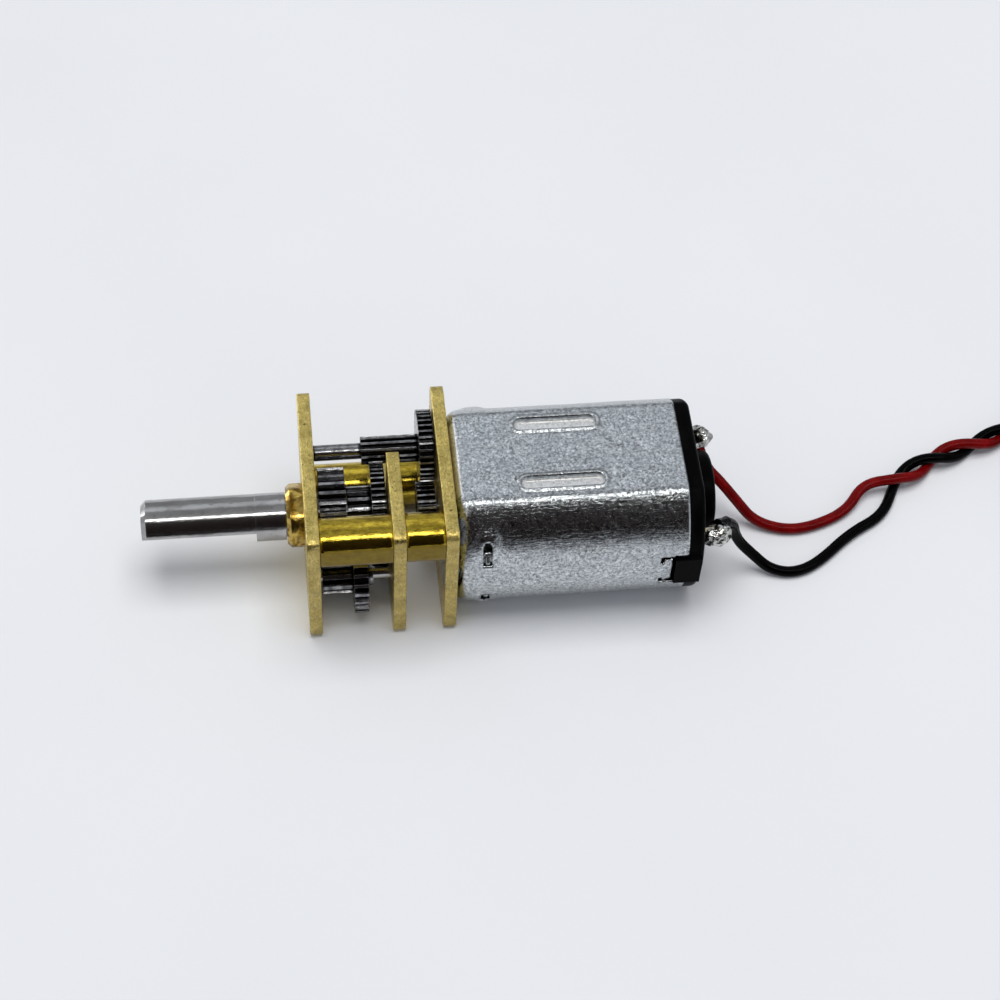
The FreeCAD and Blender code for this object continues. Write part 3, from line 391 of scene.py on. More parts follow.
def post_brass():
    """Turned brass rod: warm and glossy, rubbed along its length, small pits and stains; the filed side
    flats darker, partly a duller filed finish and partly painted shade.
    """
    r = Recipe("post_brass", Metallic=1.0)
    rub = r.noise(0.00020, 4.0, (0.30, 3.0, 3.0), 0.65)
    stain = r.noise(0.0005, 5.0, (0.6, 1.0, 1.0), 0.65)
    pits = r.cells(0.00042)
    tone = r.mixed(r.spread(stain, 0.40, 0.62), (0.68, 0.51, 0.06), (0.32, 0.22, 0.025))
    tone = r.mixed(r.spread(rub, 0.50, 0.72, 0.0, 0.6), tone, (0.26, 0.17, 0.02))
    tone = r.mixed(r.spread(pits, 0.02, 0.10, 0.7, 0.0), tone, (0.14, 0.08, 0.01))
    # The filed side flats are darkened: partly a duller filed finish, partly painted shade for the dim
    # reflection they show.
    tone = r.mixed(r.spread(r.distance("Y"), 0.00592, 0.00597, 0.0, 0.85), tone, (0.12, 0.08, 0.015))
    rough = r.sum(r.spread(stain, 0.35, 0.7, 0.09, 0.17), r.spread(rub, 0.3, 0.7, -0.02, 0.04))
    r.bump(rub, 0.000006)
    r.bump(stain, 0.000007)
    return r.done(tone, rough)


def bush_brass():
    """Hammered-in brass bush: dinged, with bright facets."""
    r = Recipe("bush_brass", Metallic=1.0)
    dings = r.cells(0.0011, "SMOOTH_F1")
    cloud = r.noise(0.0005, 3.0)
    tone = r.mixed(r.spread(cloud, 0.42, 0.60), (0.58, 0.41, 0.10), (0.17, 0.10, 0.02))
    rough = r.spread(cloud, 0.35, 0.7, 0.14, 0.34)
    r.soften(0.00008)
    r.bump(dings, 0.00022)
    r.bump(cloud, 0.00003)
    return r.done(tone, rough)


def shaft_steel():
    """Ground steel bar with faint lengthwise and round marks."""
    r = Recipe("shaft_steel", Metallic=1.0)
    rings = r.noise(0.00035, 3.0, (6.0, 0.4, 0.4), 0.6)
    smear = r.noise(0.0012, 4.0, (0.4, 1.0, 1.0), 0.6)
    speck = r.noise(0.00022, 2.0, (0.6, 1.0, 1.0))
    tone = r.mixed(r.spread(smear, 0.35, 0.68), (0.46, 0.455, 0.45), (0.28, 0.275, 0.27))
    tone = r.mixed(r.spread(speck, 0.64, 0.74, 0.0, 0.6), tone, (0.16, 0.15, 0.14))
    rough = r.sum(r.spread(smear, 0.3, 0.7, 0.11, 0.19), r.spread(rings, 0.3, 0.7, -0.02, 0.04))
    r.soften(0.00005)
    r.bump(rings, 0.000003)
    r.bump(smear, 0.000012)
    r.bump(speck, 0.000006)
    return r.done(tone, rough)


def gear_steel():
    """Hobbed steel with painted shade: tooth gaps painted near-black from ambient occlusion, crests in
    plain steel tone.
    """
    r = Recipe("gear_steel", Metallic=1.0)
    cloud = r.noise(0.0005, 4.0, rough=0.6)
    hob = r.noise(0.00014, 3.0, (0.5, 3.0, 3.0))
    openness_for_painted_gap_shade = r.add("ShaderNodeAmbientOcclusion", {"Distance": 0.00026}, samples=6).outputs["AO"]
    crest = r.mixed(r.spread(cloud, 0.36, 0.66), (0.40, 0.40, 0.41), (0.10, 0.10, 0.105))
    # Painted shade: where ambient occlusion finds the tooth gaps closed in, the tone goes near-black.
    tone = r.mixed(r.spread(openness_for_painted_gap_shade, 0.74, 0.99), (0.003, 0.003, 0.003), crest)
    tone = r.mixed(r.spread(hob, 0.52, 0.70, 0.0, 0.6), tone, (0.03, 0.03, 0.03))
    rough = r.sum(r.spread(cloud, 0.3, 0.7, 0.14, 0.26), r.spread(hob, 0.3, 0.7, -0.03, 0.05))
    r.soften(0.00003)
    r.bump(hob, 0.000005)
    return r.done(tone, rough)


def screw_steel():
    """Plain screw steel, cloudy, with turned scratches."""
    r = Recipe("screw_steel", Metallic=1.0)
    cloud = r.noise(0.0006, 4.0)
    scratch = r.noise(0.0001, 2.0, (1.0, 6.0, 0.6))
    tone = r.mixed(r.spread(cloud, 0.35, 0.68), (0.48, 0.47, 0.46), (0.33, 0.32, 0.31))
    rough = r.sum(r.spread(cloud, 0.3, 0.7, 0.24, 0.4), r.spread(scratch, 0.3, 0.7, -0.04, 0.06))
    r.soften(0.00005)
    r.bump(scratch, 0.000006)
    return r.done(tone, rough)


def can_nickel():
    """Nickel-plated drawn steel: orange-peel mottle, fine scratches, dark specks, matt grooves."""
    r = Recipe("can_nickel", Metallic=1.0)
    mottle = r.noise(0.00017, 4.0, rough=0.75, bend=0.8)
    cloud = r.noise(0.0009, 4.0, rough=0.7, bend=0.5)
    broad = r.noise(0.0030, 4.0, rough=0.6)
    streak = r.noise(0.00040, 3.0, (0.25, 2.5, 2.5), 0.6)
    speck = r.noise(0.00040, 1.0)
    scratch = r.noise(0.00016, 2.0, (0.35, 3.5, 1.0), 0.6, 0.8)
    tone = r.mixed(r.spread(mottle, 0.39, 0.63), (0.13, 0.145, 0.155), (0.86, 0.89, 0.91))
    tone = r.mixed(r.spread(cloud, 0.42, 0.66, 0.0, 0.45), tone, (0.34, 0.37, 0.39))
    tone = r.mixed(r.spread(broad, 0.35, 0.68, 0.0, 0.25), tone, (0.44, 0.48, 0.50))
    tone = r.mixed(r.spread(scratch, 0.66, 0.74, 0.0, 0.5), tone, (0.95, 0.96, 0.97))
    tone = r.mixed(r.spread(speck, 0.74, 0.79, 0.0, 0.85), tone, (0.12, 0.11, 0.10))
    level = r.spread(r.distance("Z"), 0.00485, 0.00491, 1.0, 0.0)
    sunk = r.sum(level, r.spread(r.distance("Y"), 0.00276, 0.00280, 1.0, 0.0), "MULTIPLY")
    matt = r.sum(sunk, r.spread(mottle, 0.35, 0.65, 0.45, 1.0), "MULTIPLY")
    tone = r.mixed(matt, tone, (0.98, 0.97, 0.95))
    rough = r.sum(r.spread(mottle, 0.3, 0.7, 0.13, 0.22), r.spread(streak, 0.3, 0.75, -0.03, 0.04))
    rough = r.sum(rough, r.spread(sunk, 0.0, 1.0, 0.0, 0.22))
    r.soften(0.00006)
    r.bump(broad, 0.00003)
    r.bump(mottle, 0.000011)
    r.bump(streak, 0.000014)
    r.bump(scratch, 0.000008)
    return r.done(tone, rough)


def cap_plastic():
    """Black moulded nylon with a fine sparked texture and a few rubs."""
    r = Recipe("cap_plastic", Specular_IOR_Level=0.02)
    spark = r.noise(0.00013, 3.0)
    rub = r.noise(0.0012, 4.0, (1.0, 0.5, 0.5), 0.6)
    tone = r.mixed(r.spread(rub, 0.5, 0.75), (0.0011, 0.0011, 0.0013), (0.0035, 0.0035, 0.0038))
    rough = r.spread(rub, 0.35, 0.75, 0.34, 0.52)
    r.soften(0.00008)
    r.bump(spark, 0.000014)
    return r.done(tone, rough)


def insulation(name, colour, pale, shine):
    """Extruded insulation, softly glossy, with faint waves and finger marks."""
    r = Recipe(name, Specular_IOR_Level=shine)
    smear = r.noise(0.0011, 5.0, rough=0.65)
    wave = r.noise(0.0010, 3.0)
    scuff = r.noise(0.00018, 3.0, rough=0.65)
    tone = r.mixed(r.spread(smear, 0.4, 0.7, 0.0, 0.7), colour, pale)
    tone = r.mixed(r.spread(scuff, 0.60, 0.72, 0.0, 0.5), tone, tuple(0.35 * c for c in colour))
    rough = r.sum(r.spread(smear, 0.35, 0.7, 0.14, 0.28), r.spread(scuff, 0.3, 0.7, -0.03, 0.06))
    r.bump(wave, 0.00006)
    r.bump(scuff, 0.000008)
    return r.done(tone, rough)


def solder():
    """Bright solder, frosted in places, with dark baked flux in its hollows."""
    r = Recipe("solder", Metallic=1.0)
    frost = r.noise(0.00016, 4.0, rough=0.65)
    flux = r.noise(0.00055, 3.0, rough=0.6)
    tone = r.mixed(r.spread(frost, 0.35, 0.7), (0.74, 0.74, 0.72), (0.40, 0.40, 0.38))
    tone = r.mixed(r.spread(flux, 0.50, 0.58, 0.0, 0.97), tone, (0.022, 0.017, 0.008))
    rough = r.sum(r.spread(frost, 0.3, 0.7, 0.12, 0.26), r.spread(flux, 0.50, 0.58, 0.0, 0.2))
    r.bump(flux, 0.00010)
    r.bump(frost, 0.000010)
    return r.done(tone, rough)


PLAIN_GRAIN = 0.0004


def plain_metal(name, light, dark, low_rough, high_rough, grain=(1, 1, 1)):
    """A metal inside the part, with cloudy tone, grain and fine bumps."""
    r = Recipe(name, Metallic=1.0)
    cloud = r.noise(PLAIN_GRAIN * 2.5, 4.0)
    lines = r.noise(PLAIN_GRAIN, 3.0, grain, 0.6)
    tone = r.mixed(r.spread(cloud, 0.35, 0.68), light, dark)
    rough = r.spread(lines, 0.3, 0.7, low_rough, high_rough)
    r.soften(0.00004)
    r.bump(lines, PLAIN_GRAIN * 0.03)
    return r.done(tone, rough)


def plain_dull(name, light, dark, low_rough, high_rough):
    """A ceramic or plastic inside the part."""
    r = Recipe(name)
    cloud = r.noise(PLAIN_GRAIN * 2.5, 4.0)
    grain = r.noise(PLAIN_GRAIN, 3.0)
    tone = r.mixed(r.spread(cloud, 0.35, 0.68), light, dark)
    rough = r.spread(grain, 0.3, 0.7, low_rough, high_rough)
    r.soften(0.00005)
    r.bump(grain, PLAIN_GRAIN * 0.04)
    return r.done(tone, rough)


MATERIALS = {
    "plate_brass": plate_brass(),
    "post_brass": post_brass(),
    "bush_brass": bush_brass(),
    "shaft_steel": shaft_steel(),
    "gear_steel": gear_steel(),
    "screw_steel": screw_steel(),
    "can_nickel": can_nickel(),
    "bearing_bronze": plain_metal("bearing_bronze", (0.52, 0.34, 0.17), (0.34, 0.21, 0.10), 0.4, 0.6),
    "magnet": plain_dull("magnet", (0.035, 0.034, 0.033), (0.06, 0.058, 0.055), 0.5, 0.75),
    "core_steel": plain_metal(
        "core_steel", (0.36, 0.35, 0.34), (0.2, 0.2, 0.2), 0.3, 0.5, (12, 0.4, 0.4)
    ),
    "copper": plain_metal("copper", (0.72, 0.30, 0.14), (0.45, 0.16, 0.07), 0.2, 0.4, (1, 5, 5)),
    "hub_plastic": plain_dull("hub_plastic", (0.30, 0.12, 0.04), (0.20, 0.08, 0.03), 0.35, 0.55),
    "cap_plastic": cap_plastic(),
    "terminal_brass": plain_metal("terminal_brass", (0.66, 0.60, 0.45), (0.45, 0.38, 0.24), 0.25, 0.45),
    "solder": solder(),
    "red_insulation": insulation(
        "red_insulation", (0.115, 0.0004, 0.0008), (0.23, 0.0020, 0.003), 0.085
    ),
    "black_insulation": insulation(
        "black_insulation", (0.0005, 0.0005, 0.0007), (0.0014, 0.0014, 0.0017), 0.04
    ),
    "lead_pair_insulation": insulation(
        "lead_pair_insulation", (0.1, 0.001, 0.002), (0.2, 0.004, 0.006), 0.16
    ),
    "tinned_wire": plain_metal("tinned_wire", (0.78, 0.77, 0.75), (0.55, 0.54, 0.52), 0.2, 0.36),
}

for part in frame["record"]["subparts"]:
    node = frame["nodes"][part["node"]]
    node.data.materials.clear()
    node.data.materials.append(MATERIALS[part["material_slot"]])

# ------------------------------------------------------------------ leads as pieces

STRANDS = 7
STRAND = 0.00014
STRAND_LENGTH = 0.0024
STRAND_LAY = 0.0018
STRAND_STEPS = 11
STRAND_UNEVEN = 0.05
STRAND_FLARE = 0.5
STRAND_SINK = 0.00014
STRAND_TUCK = 0.0002


def make_strands(colour, tail):
    """The stripped end of a lead: tinned strands, six laid round one, down on the table."""
    end = Vector(tail[-1])
    along = (end - Vector(tail[-2])).normalized()
    side = Vector((0, 0, 1)).cross(along).normalized()
    data = bpy.data.curves.new(f"{colour}_strands", "CURVE")
    data.dimensions = "3D"
    data.resolution_u = 4
    data.bevel_depth = STRAND / 2
    data.bevel_resolution = 3
    data.use_fill_caps = True
    for number in range(STRANDS):
        spline = data.splines.new("NURBS")
        spline.points.add(STRAND_STEPS)
        reach = 0.0 if number == STRANDS - 1 else STRAND
        cut = STRAND_LENGTH * (1 - STRAND_UNEVEN * ((number * 5) % STRANDS) / (STRANDS - 1))
        for index, point in enumerate(spline.points):
            distance = cut * index / STRAND_STEPS
            angle = math.pi / 3 * number + 2 * math.pi * distance / STRAND_LAY
            spread = reach * (1.0 + STRAND_FLARE * (index / STRAND_STEPS) ** 3)
            sink = Vector((0, 0, -STRAND_SINK * smooth_step(distance, 0.0, STRAND_LENGTH)))
            place = end + along * (distance - STRAND_TUCK) + sink
            place += side * (spread * math.cos(angle)) + Vector((0, 0, spread * math.sin(angle)))
            point.co = (*place, 1.0)
        spline.order_u = 3
        spline.use_endpoint_u = True
    strands = bpy.data.objects.new(f"{colour}_strands", data)
    scene.collection.objects.link(strands)
    data.materials.append(MATERIALS["tinned_wire"])
    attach(strands, "housing")
    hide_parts(f"{colour}_tip")


def smooth_step(value, low, high):
    """Nought at low and one at high, with a smooth start and end; low may be the larger."""
    share = min(1.0, max(0.0, (value - low) / (high - low)))
    return share * share * (3 - 2 * share)


make_strands("red", RED_TAIL)
make_strands("black", BLACK_TAIL)

LEADS = {
    "red": (red_lead, ["red_lead", "red_tail", "lead_pair", "lead_coil"], RED_ROUTE[0]),
    "black": (black_lead, ["black_lead", "black_tail"], BLACK_ROUTE[0]),
}
for colour, (lead, replaced, leaves) in LEADS.items():
    lead.data.materials.append(MATERIALS[f"{colour}_insulation"])
    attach(lead, "housing")
    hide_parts(*replaced)

# ------------------------------------------------------------------ pieces with worked surfaces


def add_piece(mesh, name, slot, *replaced):
    """Put a mesh in the scene as a piece of the housing."""
    piece = bpy.data.objects.new(name, mesh)
    scene.collection.objects.link(piece)
    mesh.materials.append(MATERIALS[slot])
    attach(piece, "housing")
    if replaced:
        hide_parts(*replaced)
    return piece


def join_rings(shape, rings):
    """Skin a row of closed rings of vertices with smooth quads."""
    for before, after in zip(rings, rings[1:]):
        count = len(before)
        for k in range(count):
            corners = (before[k], before[(k + 1) % count], after[(k + 1) % count], after[k])
            shape.faces.new(corners).smooth = True


def steps_between(breaks, spacing):
    """Even steps between each two breaks, which are kept."""
    values = [breaks[0]]
    for low, high in zip(breaks, breaks[1:]):
        count = max(1, round(abs(high - low) / spacing))
        values += [low + (high - low) * k / count for k in range(1, count + 1)]
    return values


# Sizes of the can in mm. Its openings are on both round sides, and each punched one is there twice,
# above and below the middle.
CAN_START, CAN_END = 9.15, 23.4
CAN_RADIUS, CAN_HALF_HEIGHT = 6.0, 5.0
CAN_CORNER, CAN_FRONT_ROUND, CAN_WALL = 0.9, 0.85, 0.2
CAN_GRID = 0.12
CORNER_GRID = 0.1
FRONT_STEPS = 6
SIDE_START = 3.6
SKIN_SWELL, SKIN_DENTS = 0.014, 0.008
BOSS_START, BOSS_RADIUS, BOSS_EDGE, BEARING_RADIUS = 8.45, 1.75, 0.12, 1.2
PUNCH_START, PUNCH_END, PUNCH_LOW, PUNCH_HIGH = 10.65, 11.25, 1.5, 3.2
TONGUE_LOW, TONGUE_HIGH = 1.68, 2.36
NOTCH_START, NOTCH_HALF, SLIT_START, SLIT_INNER = 22.5, 1.34, 21.66, 1.0
HOOK_INNER, HOOK_LENGTH = 0.72, 0.28
GROOVE_ACROSS, GROOVE_CENTRE, GROOVE_HALF, GROOVE_RADIUS = 2.25, 15.8, 2.15, 0.475
GROOVE_DEPTH, GROOVE_WALL = 0.27, 0.17
GROOVE_LIP, LIP_AWAY, LIP_WIDTH = 0.12, 0.06, 0.13
GROOVE_DIP, DIP_AWAY, DIP_WIDTH = 0.015, 0.55, 0.25
GROOVE_MARGIN = 0.3
RELIEF_NONE, RELIEF_FULL = 0.4, 1.0
PUNCH_LIP, PUNCH_SWELL, PUNCH_LIP_WIDTH = 0.04, 0.13, 0.42
SWELL_FROM, SWELL_TO = 1.6, 3.0
PUNCH_DOME = 0.8
TONGUE_SINK, TONGUE_LIFT = 0.30, 0.34
SLIT_LIP, SLIT_LIP_WIDTH, SLIT_LIP_RUN, NOTCH_SINK = 0.06, 0.22, 0.4, 0.16


def can_outline():
    """The can's outline in mm: points with their outward directions, once round."""
    centre_z = CAN_HALF_HEIGHT - CAN_CORNER
    centre_y = math.sqrt((CAN_RADIUS - CAN_CORNER) ** 2 - centre_z**2)
    lean = math.atan2(centre_z, centre_y)
    heights = [PUNCH_HIGH, TONGUE_HIGH, TONGUE_LOW, PUNCH_LOW, NOTCH_HALF, SLIT_INNER, HOOK_INNER]
    angles = [lean] + [math.asin(z / CAN_RADIUS) for z in heights]
    angles += [-angle for angle in reversed(angles)]
    quarter = []
    for y in steps_between([-centre_y, centre_y], CAN_GRID / 2)[:-1]:
        quarter.append((y, CAN_HALF_HEIGHT, math.pi / 2))
    for angle in steps_between([math.pi / 2, lean], CORNER_GRID)[:-1]:
        y = centre_y + CAN_CORNER * math.cos(angle)
        quarter.append((y, centre_z + CAN_CORNER * math.sin(angle), angle))
    for angle in steps_between(angles, CAN_GRID / CAN_RADIUS)[:-1]:
        quarter.append((CAN_RADIUS * math.cos(angle), CAN_RADIUS * math.sin(angle), angle))
    for angle in steps_between([-lean, -math.pi / 2], CORNER_GRID)[:-1]:
        y = centre_y + CAN_CORNER * math.cos(angle)
        quarter.append((y, -centre_z + CAN_CORNER * math.sin(angle), angle))
    opposite = [(-y, -z, angle + math.pi) for y, z, angle in quarter]
    return [(y, z, math.cos(angle), math.sin(angle)) for y, z, angle in quarter + opposite]


def can_relief(x, y, z):
    """How far the can's wall is pressed out at a place, in mm."""
    out = SKIN_SWELL * noise.noise(Vector((x * 0.33, y * 0.33, z * 0.33)))
    out += SKIN_DENTS * noise.noise(Vector((x * 1.3, y * 1.3, z * 1.3 + 7.0)))
    if abs(z) > CAN_HALF_HEIGHT - 0.01:
        beyond = max(0.0, abs(x - GROOVE_CENTRE) - GROOVE_HALF)
        away = math.hypot(abs(y) - GROOVE_ACROSS, beyond) - GROOVE_RADIUS
        out -= GROOVE_DEPTH * smooth_step(-away, 0.0, GROOVE_WALL)
        out += GROOVE_LIP * math.exp(-((away - LIP_AWAY) / LIP_WIDTH) ** 2)
        out -= GROOVE_DIP * math.exp(-((away - DIP_AWAY) / DIP_WIDTH) ** 2)
    elif abs(y) > SIDE_START:
        past_x = max(0.0, abs(x - (PUNCH_START + PUNCH_END) / 2) - (PUNCH_END - PUNCH_START) / 2)
        past_z = max(0.0, abs(abs(z) - (PUNCH_LOW + PUNCH_HIGH) / 2) - (PUNCH_HIGH - PUNCH_LOW) / 2)
        away = math.hypot(past_x, past_z * 0.8)
        lip = PUNCH_LIP + PUNCH_SWELL * smooth_step(z, SWELL_FROM, SWELL_TO)
        out += lip * math.exp(-(away / PUNCH_LIP_WIDTH) ** 2)
        if past_x < 1e-6 and TONGUE_LOW - 0.01 < abs(z) < TONGUE_HIGH + 0.01:
            across = 1 - abs(x - (PUNCH_START + PUNCH_END) / 2) / ((PUNCH_END - PUNCH_START) / 2)
            out -= TONGUE_SINK * smooth_step(across, 0.0, 0.35)
            towards_low = smooth_step(abs(z), TONGUE_HIGH, TONGUE_LOW)
            out += TONGUE_LIFT * smooth_step(across, 0.2, 0.7) * towards_low
        if x > SLIT_START - SLIT_LIP_RUN and abs(z) < NOTCH_HALF + 0.5:
            beside = abs(abs(z) - (NOTCH_HALF + SLIT_INNER) / 2)
            lip = SLIT_LIP * math.exp(-(beside / SLIT_LIP_WIDTH) ** 2)
            out += lip * smooth_step(x, SLIT_START - SLIT_LIP_RUN, SLIT_START)
            if abs(z) < SLIT_INNER + 0.001:
                out -= NOTCH_SINK * smooth_step(x, SLIT_START, NOTCH_START + 0.1)
    return out


def in_opening(x, y, z):
    """Whether a place is inside one of the openings in the can's round sides."""
    if abs(y) < SIDE_START:
        return False
    up = abs(z)
    beside = abs(x - (PUNCH_START + PUNCH_END) / 2)
    half_wide = (PUNCH_END - PUNCH_START) / 2
    if beside < half_wide and PUNCH_LOW < up < PUNCH_HIGH - PUNCH_DOME * beside**2 / half_wide:
        return not TONGUE_LOW < up < TONGUE_HIGH
    if x <= SLIT_START or up >= NOTCH_HALF:
        return False
    return x > NOTCH_START or up > SLIT_INNER or (x < SLIT_START + HOOK_LENGTH and up > HOOK_INNER)


def make_can():
    """The drawn can as a skin with its boss, rounded front, grooves and openings, then its wall."""
    outline = can_outline()
    sections = []
    for x, radius in (
        (BOSS_START, BEARING_RADIUS),
        (BOSS_START, BOSS_RADIUS - BOSS_EDGE),
        (BOSS_START + BOSS_EDGE, BOSS_RADIUS),
        (CAN_START, BOSS_RADIUS),
    ):
        ring = []
        for y, z, _, _ in outline:
            share = radius / math.hypot(y, z)
            ring.append((x, y * share, z * share))
        sections.append(ring)
    for share in (0.5, 1.0):
        ring = []
        for y, z, out_y, out_z in outline:
            inner = BOSS_RADIUS / math.hypot(y, z)
            edge_y, edge_z = y - CAN_FRONT_ROUND * out_y, z - CAN_FRONT_ROUND * out_z
            across = y * inner + (edge_y - y * inner) * share
            up = z * inner + (edge_z - z * inner) * share
            ring.append((CAN_START, across, up))
        sections.append(ring)
    for turn in range(1, FRONT_STEPS + 1):
        angle = math.pi / 2 * turn / FRONT_STEPS
        inset = CAN_FRONT_ROUND * (1 - math.sin(angle))
        x = CAN_START + CAN_FRONT_ROUND * (1 - math.cos(angle))
        sections.append(
            [(x, y - inset * out_y, z - inset * out_z) for y, z, out_y, out_z in outline]
        )
    stations = steps_between([CAN_START + CAN_FRONT_ROUND, PUNCH_START], CAN_GRID)
    stations += steps_between([PUNCH_START, PUNCH_END], CAN_GRID / 2)[1:]
    reach = GROOVE_HALF + GROOVE_RADIUS + GROOVE_MARGIN
    grooved = [GROOVE_CENTRE - reach, GROOVE_CENTRE + reach]
    stations += steps_between([PUNCH_END, grooved[0]], CAN_GRID)[1:]
    stations += steps_between(grooved, CAN_GRID * 0.6)[1:]
    rear = [grooved[1], SLIT_START, SLIT_START + HOOK_LENGTH, NOTCH_START, CAN_END]
    stations += steps_between(rear, CAN_GRID)[1:]
    for x in stations[1:]:
        ring = []
        for y, z, out_y, out_z in outline:
            shown = smooth_step(x, CAN_START + RELIEF_NONE, CAN_START + RELIEF_FULL)
            lift = can_relief(x, y, z) * shown
            ring.append((x, y + lift * out_y, z + lift * out_z))
        sections.append(ring)
    shape = bmesh.new()
    rows = [[shape.verts.new([MM * value for value in place]) for place in ring] for ring in sections]
    count = len(outline)
    for before, after in zip(rows, rows[1:]):
        for k in range(count):
            corners = (before[k], before[(k + 1) % count], after[(k + 1) % count], after[k])
            middle = sum((corner.co for corner in corners), Vector()) / (4 * MM)
            if not in_opening(*middle):
                shape.faces.new(corners).smooth = True
    loose = [vert for vert in shape.verts if not vert.link_faces]
    bmesh.ops.delete(shape, geom=loose, context="VERTS")
    bmesh.ops.recalc_face_normals(shape, faces=shape.faces)
    mesh = bpy.data.meshes.new("can_shell")
    shape.to_mesh(mesh)
    shape.free()
    can = add_piece(mesh, "can_shell", "can_nickel", "motor_can")
    wall = can.modifiers.new("wall", "SOLIDIFY")
    wall.thickness = CAN_WALL * MM
    wall.offset = -1.0
    wall.use_even_offset = True


make_can()


def circle_points(radius, across, up, spacing):
    """Even points round a circle in mm."""
    count = max(16, round(2 * math.pi * radius / spacing))
    angles = [2 * math.pi * k / count for k in range(count)]
    return [(across + radius * math.cos(angle), up + radius * math.sin(angle)) for angle in angles]


def rounded_outline(corners, spacing):
    """A closed outline in mm with rounded corners; each corner is a place and its radius."""
    points = []
    count = len(corners)
    for index, (y, z, radius) in enumerate(corners):
        here = Vector((y, z))
        before = Vector(corners[index - 1][:2])
        after = Vector(corners[(index + 1) % count][:2])
        start = here + (before - here).normalized() * radius
        end = here + (after - here).normalized() * radius
        shares = (0, 0.2, 0.4, 0.6, 0.8, 1)
        bend = [start * (1 - t) ** 2 + here * 2 * t * (1 - t) + end * t * t for t in shares]
        following = corners[(index + 1) % count]
        run_end = after + (here - after).normalized() * following[2]
        length = (run_end - end).length
        runs = max(1, round(length / spacing))
        points += bend + [end.lerp(run_end, k / runs) for k in range(1, runs)]
    return [tuple(point) for point in points]


SHEET_HALF, SHEET_BEVEL = 0.4, 0.055
SHEET_GRID = 0.16
EDGE_WANDER, HOLE_WANDER, BURR = 0.035, 0.008, 0.012


def make_plate(name, start, outline, circles, seed):
    """A sheared brass plate: uneven edges, softly rounded, and holes."""
    data = bpy.data.curves.new(name, "CURVE")
    data.dimensions = "2D"
    data.fill_mode = "BOTH"
    data.bevel_depth = SHEET_BEVEL * MM
    data.bevel_resolution = 2
    data.offset = -SHEET_BEVEL * MM
    data.extrude = (SHEET_HALF - SHEET_BEVEL) * MM
    loops = [rounded_outline(outline, SHEET_GRID)]
    loops += [circle_points(radius, across, up, SHEET_GRID) for radius, across, up in circles]
    for number, loop in enumerate(loops):
        spline = data.splines.new("POLY")
        spline.points.add(len(loop) - 1)
        amount = EDGE_WANDER if number == 0 else HOLE_WANDER
        for point, (y, z) in zip(spline.points, loop):
            shift = noise.noise_vector(Vector((y * 1.6, z * 1.6, seed))) * amount
            shift += noise.noise_vector(Vector((y * 6.0, z * 6.0, seed))) * amount * 0.5
            point.co = (MM * (y + shift.x), MM * (z + shift.y), 0.0, 1.0)
        spline.use_cyclic_u = True
    curve = bpy.data.objects.new(name, data)
    scene.collection.objects.link(curve)
    bpy.context.view_layer.update()
    mesh = bpy.data.meshes.new_from_object(curve)
    bpy.data.objects.remove(curve)
    for vertex in mesh.vertices:
        across, up, along = vertex.co
        burr = noise.noise(Vector((across * 2200, up * 2200, along * 4000 + seed))) * BURR * MM
        vertex.co = ((start + SHEET_HALF) * MM + along + burr, across, up)
    mesh.name = name
    return mesh


PLATE_CORNERS = [(6, 5, 0.7), (-6, 5, 0.7), (-6, -5, 0.7), (6, -5, 0.7)]
MIDDLE_CORNERS = [
    (0.75, 5, 0.15), (-6, 5, 0.7), (-6, -5, 0.7), (6, -5, 0.7), (6, -0.8, 0.15), (0.75, -0.8, 0.4),
]
LAY, POST = (3.0, 2.3), (4.7, 3.5)
FRONT_HOLES = [
    (0.8, 4.5, 0.0), (0.8, -4.5, 0.0), (2.0, 0.0, 0.0), (0.52, *LAY), (0.5, -LAY[0], -LAY[1]),
    (0.5, -POST[0], POST[1]), (0.5, POST[0], -POST[1]),
]
MIDDLE_HOLES = [
    (0.62, 0.0, 0.0), (0.5, -LAY[0], -LAY[1]), (0.5, -POST[0], POST[1]), (0.5, POST[0], -POST[1]),
]
REAR_HOLES = [
    (1.4, 4.5, 0.0), (1.4, -4.5, 0.0), (1.8, 0.0, 0.0), (0.52, *LAY),
    (0.9, -POST[0], POST[1]), (0.9, POST[0], -POST[1]),
]
for plate, start, corners, circles in (
    ("front", 0.0, PLATE_CORNERS, FRONT_HOLES),
    ("middle", 5.2, MIDDLE_CORNERS, MIDDLE_HOLES),
    ("rear", 8.35, PLATE_CORNERS, REAR_HOLES),
):
    mesh = make_plate(f"{plate}_sheet", start, corners, circles, 3.0 + 4.0 * start)
    add_piece(mesh, f"{plate}_sheet", "plate_brass", f"{plate}_plate")

POST_RADIUS = 1.49
POST_SIDE = 6.0
POST_AROUND = 96
POST_EDGE = 0.05
POST_GRID = 0.2
POST_WANDER = 0.006
FILED_SHARPNESS = 40


